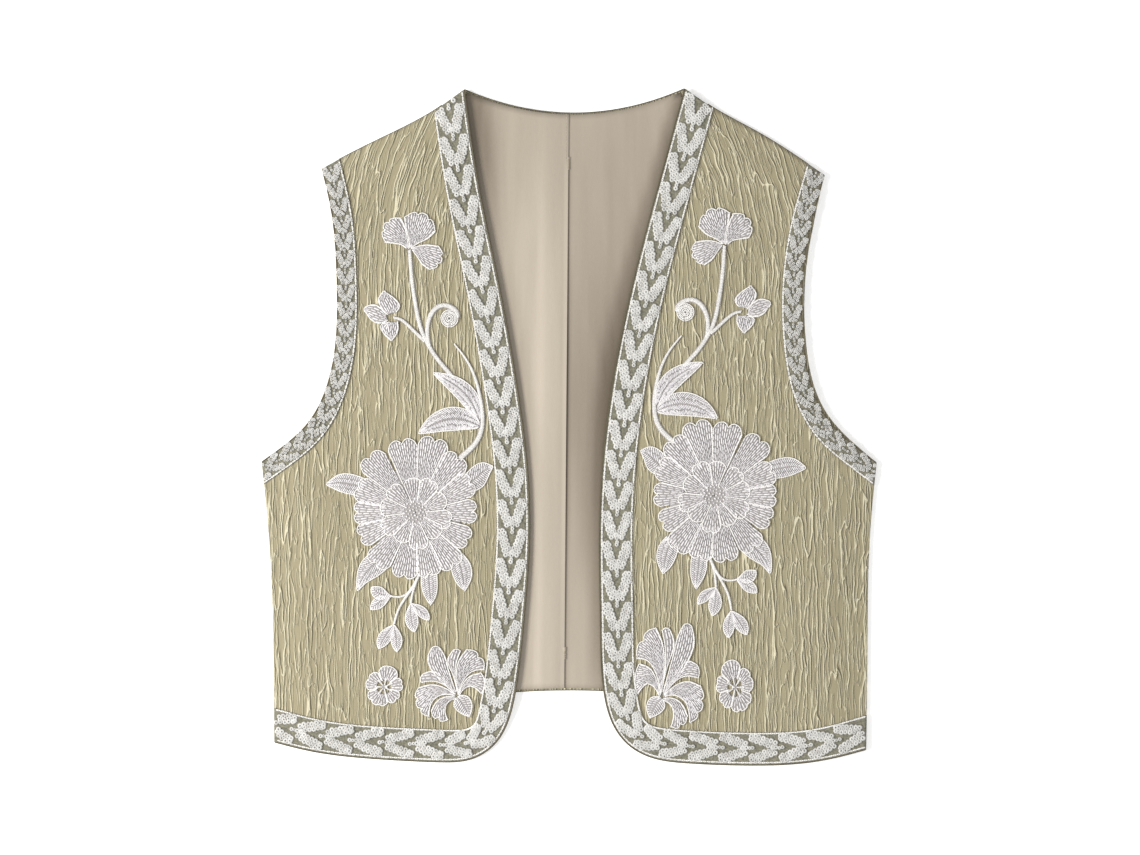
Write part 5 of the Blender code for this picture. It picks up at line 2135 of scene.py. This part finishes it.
STEMS = (
    Stem("fan_stem", (3.2, 3.6, 3.8), (
        (124.9, 138.5), (122.5, 110), (119.8, 93), (115.2, 74.5), (108.8, 61.8),
        (103, 53.1), (95.5, 44.2), (90.5, 38),
    )),
    Stem("trefoil_stem", (2.6, 2.9, 3.2), (
        (137.6, 85.6), (132.9, 84.6), (125.5, 79.1), (118.6, 72.4), (113.2, 67.2),
    )),
    Stem("curl", (3.4, 4.2, 4.6), (
        (109.6, 63.5), (111.2, 74.5), (110, 83.7), (106.4, 90.9), (99.5, 95.2), (92.3, 93.6),
        (88.2, 89.8), (87.6, 85.6),
    )),
    Stem("tendril", (1.2, 3.4, 5), (
        (90.4, 65.4), (78.9, 49.8), (72.3, 33.4), (68.9, 17), (68.3, 1.5),
        (73.3, -12), (80.5, -19.5), (86, -24.5),
    )),
    Stem("sprig_stem", (2.8, 2.4, 1.8), (
        (117.4, -114), (120.8, -121.5), (127, -131), (133.4, -141.5), (137, -153),
    )),
    Stem("sprig_outer_stem", (2.4, 2, 1.8), ((122.6, -124.5), (127.6, -130), (133.5, -132), (139, -131.4))),
    Stem("sprig_inner_stem", (2.4, 2, 1.8), ((119.8, -119.8), (121.8, -126), (123.2, -132), (123.9, -136.5))),
)
BUDS = (
    Bud("bud_outer", (139.4, -131.2), ((24, 17, 9.6, 50), (-33, 19, 8.6, -20))),
    Bud("bud_inner", (123.9, -137.2), ((263, 22, 9.8, -20), (222, 19, 7.6, 25))),
    Bud("bud_lower", (137.1, -153.6), ((-57, 22, 9.6, -15), (264, 21, 8.6, 18))),
)


@dataclass
class FrontEmbroidery:
    """Every raised motif of one front.

    Attributes:
        form: The front.
        room: Shared materials and trees.
        flower_centre: Middle of the great flower's outline.
        flower_half: Half of the great flower's width and height.
        squareness: Power of its outline, 2 for an oval.
        heart: Middle of its knotted heart.
        outer: Number of petals in its outer ring.
        inner: Number of petals in its inner ring.
        knots: Number of knots in its heart.
        palmette_base: Point that the palmette's petals spring from.
        rosette_centre: Middle of the rosette.
        curl_centre: Middle of the curl's round head.
        curl_radii: Radii of the stitched rings in it, the last its own.
    """

    form: FrontForm
    room: Workroom
    flower_centre: Place = (120.8, -62.3)
    flower_half: Place = (47.6, 55.6)
    squareness: float = 2.25
    heart: Place = (120.4, -66.1)
    outer: int = 14
    inner: int = 10
    knots: int = 58
    palmette_base: Place = (88.1, -209.6)
    rosette_centre: Place = (144.8, -202.1)
    curl_centre: Place = (93.9, 85.0)
    curl_radii: tuple[float, ...] = (1.4, 2.8, 4.2, 5.2, 6.5)

    def motif(self, name: str, seed: int) -> Embroiderer:
        """Start the motif that stands for one node of this front."""
        return Embroiderer(self.form, self.room, f"{self.form.name}_{name}", seed)

    def leaflet(self, shape: Leaflet) -> Between:
        """A petal from its table, placed on this front."""
        one, two = [Curve([self.form.place(point) for point in side]) for side in (shape.one, shape.two)]
        return Between(one, two, shape.fullness, shape.lobes)

    def build(self) -> None:
        """Work every motif."""
        for seed, name, shapes in ((1, "fan_flower", FAN_PETALS), (2, "trefoil", TREFOIL_PETALS)):
            work = self.motif(name, seed)
            for shape in shapes:
                work.add(self.leaflet(shape), Fill.LENGTHWISE)
            work.make()
        self.build_great_flower()
        self.build_palmette()
        self.build_rosette()
        self.build_buds()
        self.build_stems()
        self.build_leaves()

    def build_great_flower(self) -> None:
        """Many-petalled flower: sepals, outer and inner petals, and a knotted heart."""
        work = self.motif("great_flower", 3)
        for shape in SEPALS:
            work.add(self.leaflet(shape), Fill.VEINED, 0.4, 0.9)
        heart = self.form.place(self.heart)
        centre = self.form.place(self.flower_centre)
        work.add_pad(Fan(heart, 0, 180, 0.4, 36.0), 0.7, 1.1, 8, 40)
        half = 180 / self.outer
        for k in range(self.outer):
            turn = 2 * half * k + 0.2 * half * math.sin(5 * k)
            length = self.rim_distance(heart, centre, turn) * (1 + 0.025 * math.sin(3.7 * k))
            petal = Fan(heart, turn, half * 1.03, 24.0, length, 0.07, 2, 0.07, 0.97)
            work.add(petal, Fill.LENGTHWISE, 0.95 + 0.1 * (k % 2), 1.45, Rim.SIDE)
        half = 180 / self.inner
        for k in range(self.inner):
            turn = 2 * half * (k + 0.3) + 3 * math.sin(4 * k)
            length = 27.5 * (1 + 0.06 * math.sin(2.9 * k))
            petal = Fan(heart, turn, half * 1.05, 8.0, length, 0.16, 1 + k % 2, 0.06 * (k % 2), 0.9)
            work.add(petal, Fill.LENGTHWISE, 1.3 + 0.1 * (k % 2), 1.75, Rim.SIDE)
        work.add_pad(Fan(heart, 0, 180, 0.4, 12.0), 1.5, 1.8, 6, 40)
        work.add_knots(heart, 11.2, self.knots, 1.9, 0.82)
        work.make()

    def rim_distance(self, start: Array, centre: Array, turn: float) -> float:
        """Distance in a direction from a point to the great flower's outline."""
        reach = np.linspace(20, 80, 400)
        ahead = np.array([math.cos(math.radians(turn)), math.sin(math.radians(turn))])
        off = np.abs(start - centre + reach[:, None] * ahead) / self.flower_half
        return float(np.interp(1.0, (off**self.squareness).sum(axis=1), reach))

    def build_palmette(self) -> None:
        """Curled petals that spring from one point above the corner."""
        work = self.motif("palmette", 4)
        stretch = self.form.tables.palmette_height
        centre = self.form.place(self.palmette_base)
        for shape in PALMETTE_PETALS:
            work.add(Stretched(self.leaflet(shape), centre, stretch), Fill.LENGTHWISE)
        work.make()

    def build_rosette(self) -> None:
        """Rosette of uneven round petals, with open slits round its heart."""
        work = self.motif("rosette", 5)
        centre = self.form.place(self.rosette_centre)
        oval = self.form.tables.rosette_height
        for turn, spread, length, lobes in (
            (28, 42, 14.4, 2), (107, 36, 16.6, 1), (170, 27, 14.6, 2), (226, 30, 14.2, 2), (300, 44, 15.2, 3),
        ):
            petal = Fan(centre, turn, spread, 5.6, length, 0.16, lobes, 0.09, 0.96, oval)
            work.add(petal, Fill.LENGTHWISE, 0.7, 1.4)
        work.add(Fan(centre, 0, 180, 0.2, 2.4), Fill.ACROSS, 0.7, 1.2, rim=Rim.NONE)
        for k in range(7):
            spoke = Fan(centre, 51.4 * k, 10, 1.5, 6.8, oval=oval)
            work.add(spoke, Fill.ACROSS, 0.5, 1.1, rim=Rim.NONE)
        work.make()

    def build_buds(self) -> None:
        """Paired leaves of the sprig."""
        for number, bud in enumerate(BUDS):
            work = self.motif(bud.name, 10 + number)
            base = self.form.place(bud.base)
            for turn, length, width, bend in bud.leaves:
                work.add(Blade(base, turn, length, width, 0.1, bend), Fill.VEINED, 0.7, 1.5)
            work.make()

    def build_stems(self) -> None:
        """Satin-stitched stems, and the round head of the curl."""
        for number, stem in enumerate(STEMS):
            work = self.motif(stem.name, 20 + number)
            line = Curve([self.form.place(point) for point in stem.points])
            work.add(Strip(line, (0, 0.5, 1), stem.widths), Fill.ACROSS, 0.5, 1.15, rim=Rim.NONE)
            if stem.name == "curl":
                centre = self.form.place(self.curl_centre)
                work.add(Fan(centre, 90, 180, 0.3, self.curl_radii[-1]), Fill.LENGTHWISE, 0.8, 1.4, Rim.END)
                for radius in self.curl_radii[:-1]:
                    work.rim(Fan(centre, 90, 180, 0.3, radius), 1.1, Rim.END)
            work.make()

    def build_leaves(self) -> None:
        """Veined leaves of the tendril and the drop below the palmette."""
        for number, (name, width, points) in enumerate((
            ("upper_leaf", 14.5, ((70.4, 5.5), (78.4, 22.6), (89.4, 33.2), (106.0, 42.4))),
            ("lower_leaf", 18.5, ((70.0, 1.0), (85.0, 6.6), (101.0, 4.8), (117.5, -4.4))),
        )):
            work = self.motif(name, 30 + number)
            line = Curve([self.form.place(point) for point in points])
            work.add(Strip(line, (0, 1), (width, width), leaf=True), Fill.VEINED, 0.7, 1.5)
            work.make()
        work = self.motif("drop_leaf", 32)
        work.add(self.leaflet(DROP_LEAF), Fill.VEINED, 0.7, 1.5)
        work.make()


@dataclass
class Studio:
    """Floor, soft light and the camera that looks straight down."""

    floor_size: float = 6.0
    floor_tone: float = 0.9
    floor_glow: float = 0.32
    sky_strength: float = 0.55
    top_height: float = 0.004

    def build(self) -> None:
        """Set up the whole studio."""
        self.build_floor()
        self.build_lights()
        self.build_camera()

    def build_floor(self) -> None:
        """Plain pale floor just under the waistcoat."""
        half, low = self.floor_size / 2, -0.3 * MM
        mesh = bpy.data.meshes.new("floor")
        signs = ((-1, -1), (1, -1), (1, 1), (-1, 1))
        mesh.from_pydata([(x * half, y * half, low) for x, y in signs], [], [(0, 1, 2, 3)])
        shader = Shader("floor_paper", {"Roughness": 0.95, "Emission Strength": self.floor_glow})
        grain = shader.fleck((900.0, 900.0, 900.0))
        colour = shader.blend(grain * 0.02, (self.floor_tone,) * 3, (0.8, 0.8, 0.8))
        shader.surface.inputs["Emission Color"].default_value = (1.0, 1.0, 1.0, 1.0)
        mesh.materials.append(shader.finish(colour, grain, 0.00002))
        add_object("floor", mesh)

    def add_light(self, name: str, place: Sequence[float], size: float, power: float, tint: Colour) -> None:
        """Square soft light that faces the waistcoat.

        Args:
            name: Name of the light.
            place: Where it stands, in metres.
            size: Length of its side, in metres.
            power: Its power, in watts.
            tint: Its colour.
        """
        light = bpy.data.lights.new(name, "AREA")
        light.shape = "SQUARE"
        light.size = size
        light.energy = power
        light.color = tint
        lamp = add_object(name, light)
        lamp.location = place
        lamp.rotation_euler = (-Vector(place)).to_track_quat("-Z", "Y").to_euler()

    def build_lights(self) -> None:
        """Key from the left, a weak fill and a pale sky."""
        self.add_light("key_light", (-1.8, -0.15, 1.5), 0.8, 58.0, (1.0, 0.985, 0.965))
        self.add_light("fill_light", (0.7, -0.9, 2.2), 2.4, 13.0, (0.975, 0.985, 1.0))
        world = bpy.data.worlds.new("pale_sky")
        world.use_nodes = True
        background = world.node_tree.nodes["Background"]
        background.inputs["Color"].default_value = (1.0, 1.0, 1.0, 1.0)
        background.inputs["Strength"].default_value = self.sky_strength
        bpy.context.scene.world = world
        bpy.context.scene.view_settings.view_transform = "Standard"

    def build_camera(self) -> None:
        """Camera straight above, with the photograph's frame across the waistcoat."""
        frame_width = PHOTO_SIZE[0] * MM_PER_PIXEL * MM
        lens = bpy.data.cameras.new("camera")
        lens.lens = CAMERA_LENS
        lens.sensor_width = CAMERA_SENSOR
        camera = add_object("camera", lens)
        camera.location = (0.0, 0.0, frame_width * CAMERA_LENS / CAMERA_SENSOR + self.top_height)
        bpy.context.scene.camera = camera


def corner_of(curve: Curve) -> float:
    """Share of a front's edge where it turns halfway from the edge to the hem."""
    shares = np.linspace(0.4, 0.95, 400)
    headings = np.abs(np.stack([curve.heading(share)[0] for share in shares]))
    return float(shares[np.argmin(np.abs(headings[:, 0] - headings[:, 1]))])


def front_tapes(form: FrontForm, room: Workroom) -> list[Tape]:
    """The wide tape of a front's edge and hem, and the narrow one of its armhole."""
    neck, tip = form.shoulder.heading(0)[0], -form.shoulder.heading(1)[0]
    hem, underarm = form.side_seam.heading(0)[0], -form.side_seam.heading(1)[0]
    return [
        Tape(
            form, room, f"{form.name}_front_band", form.edge, (neck, hem), width=26.0, pitch=23.8,
            arm=22.4, spread=11.7, loop=2.1, stations=6, tips=1, phase=form.tables.tape_phase,
            borders=(2.3, 25.2), off_middle=0.9, corner=corner_of(form.edge),
        ),
        Tape(
            form, room, f"{form.name}_armhole_band", form.armhole, (underarm, tip), width=15.6, pitch=13.2,
            arm=13.0, spread=7.4, loop=1.22, stations=5, tips=-1, phase=0.08, borders=(14.7,),
            off_middle=-0.7, dark=True,
        ),
    ]


def main() -> None:
    """Build every sub-assembly in order."""
    logging.basicConfig(level=logging.INFO, format="%(name)s %(message)s")
    Studio().build()
    room = Workroom()
    fronts = [FrontForm(RIGHT), FrontForm(LEFT)]
    back = Back(fronts, room)
    back.build()
    Lining(fronts, back, room).build()
    for form in fronts:
        FrontCloth(form, room).build()
        for tape in front_tapes(form, room):
            tape.build()
        FrontEmbroidery(form, room).build()


if __name__ == "__main__":
    main()
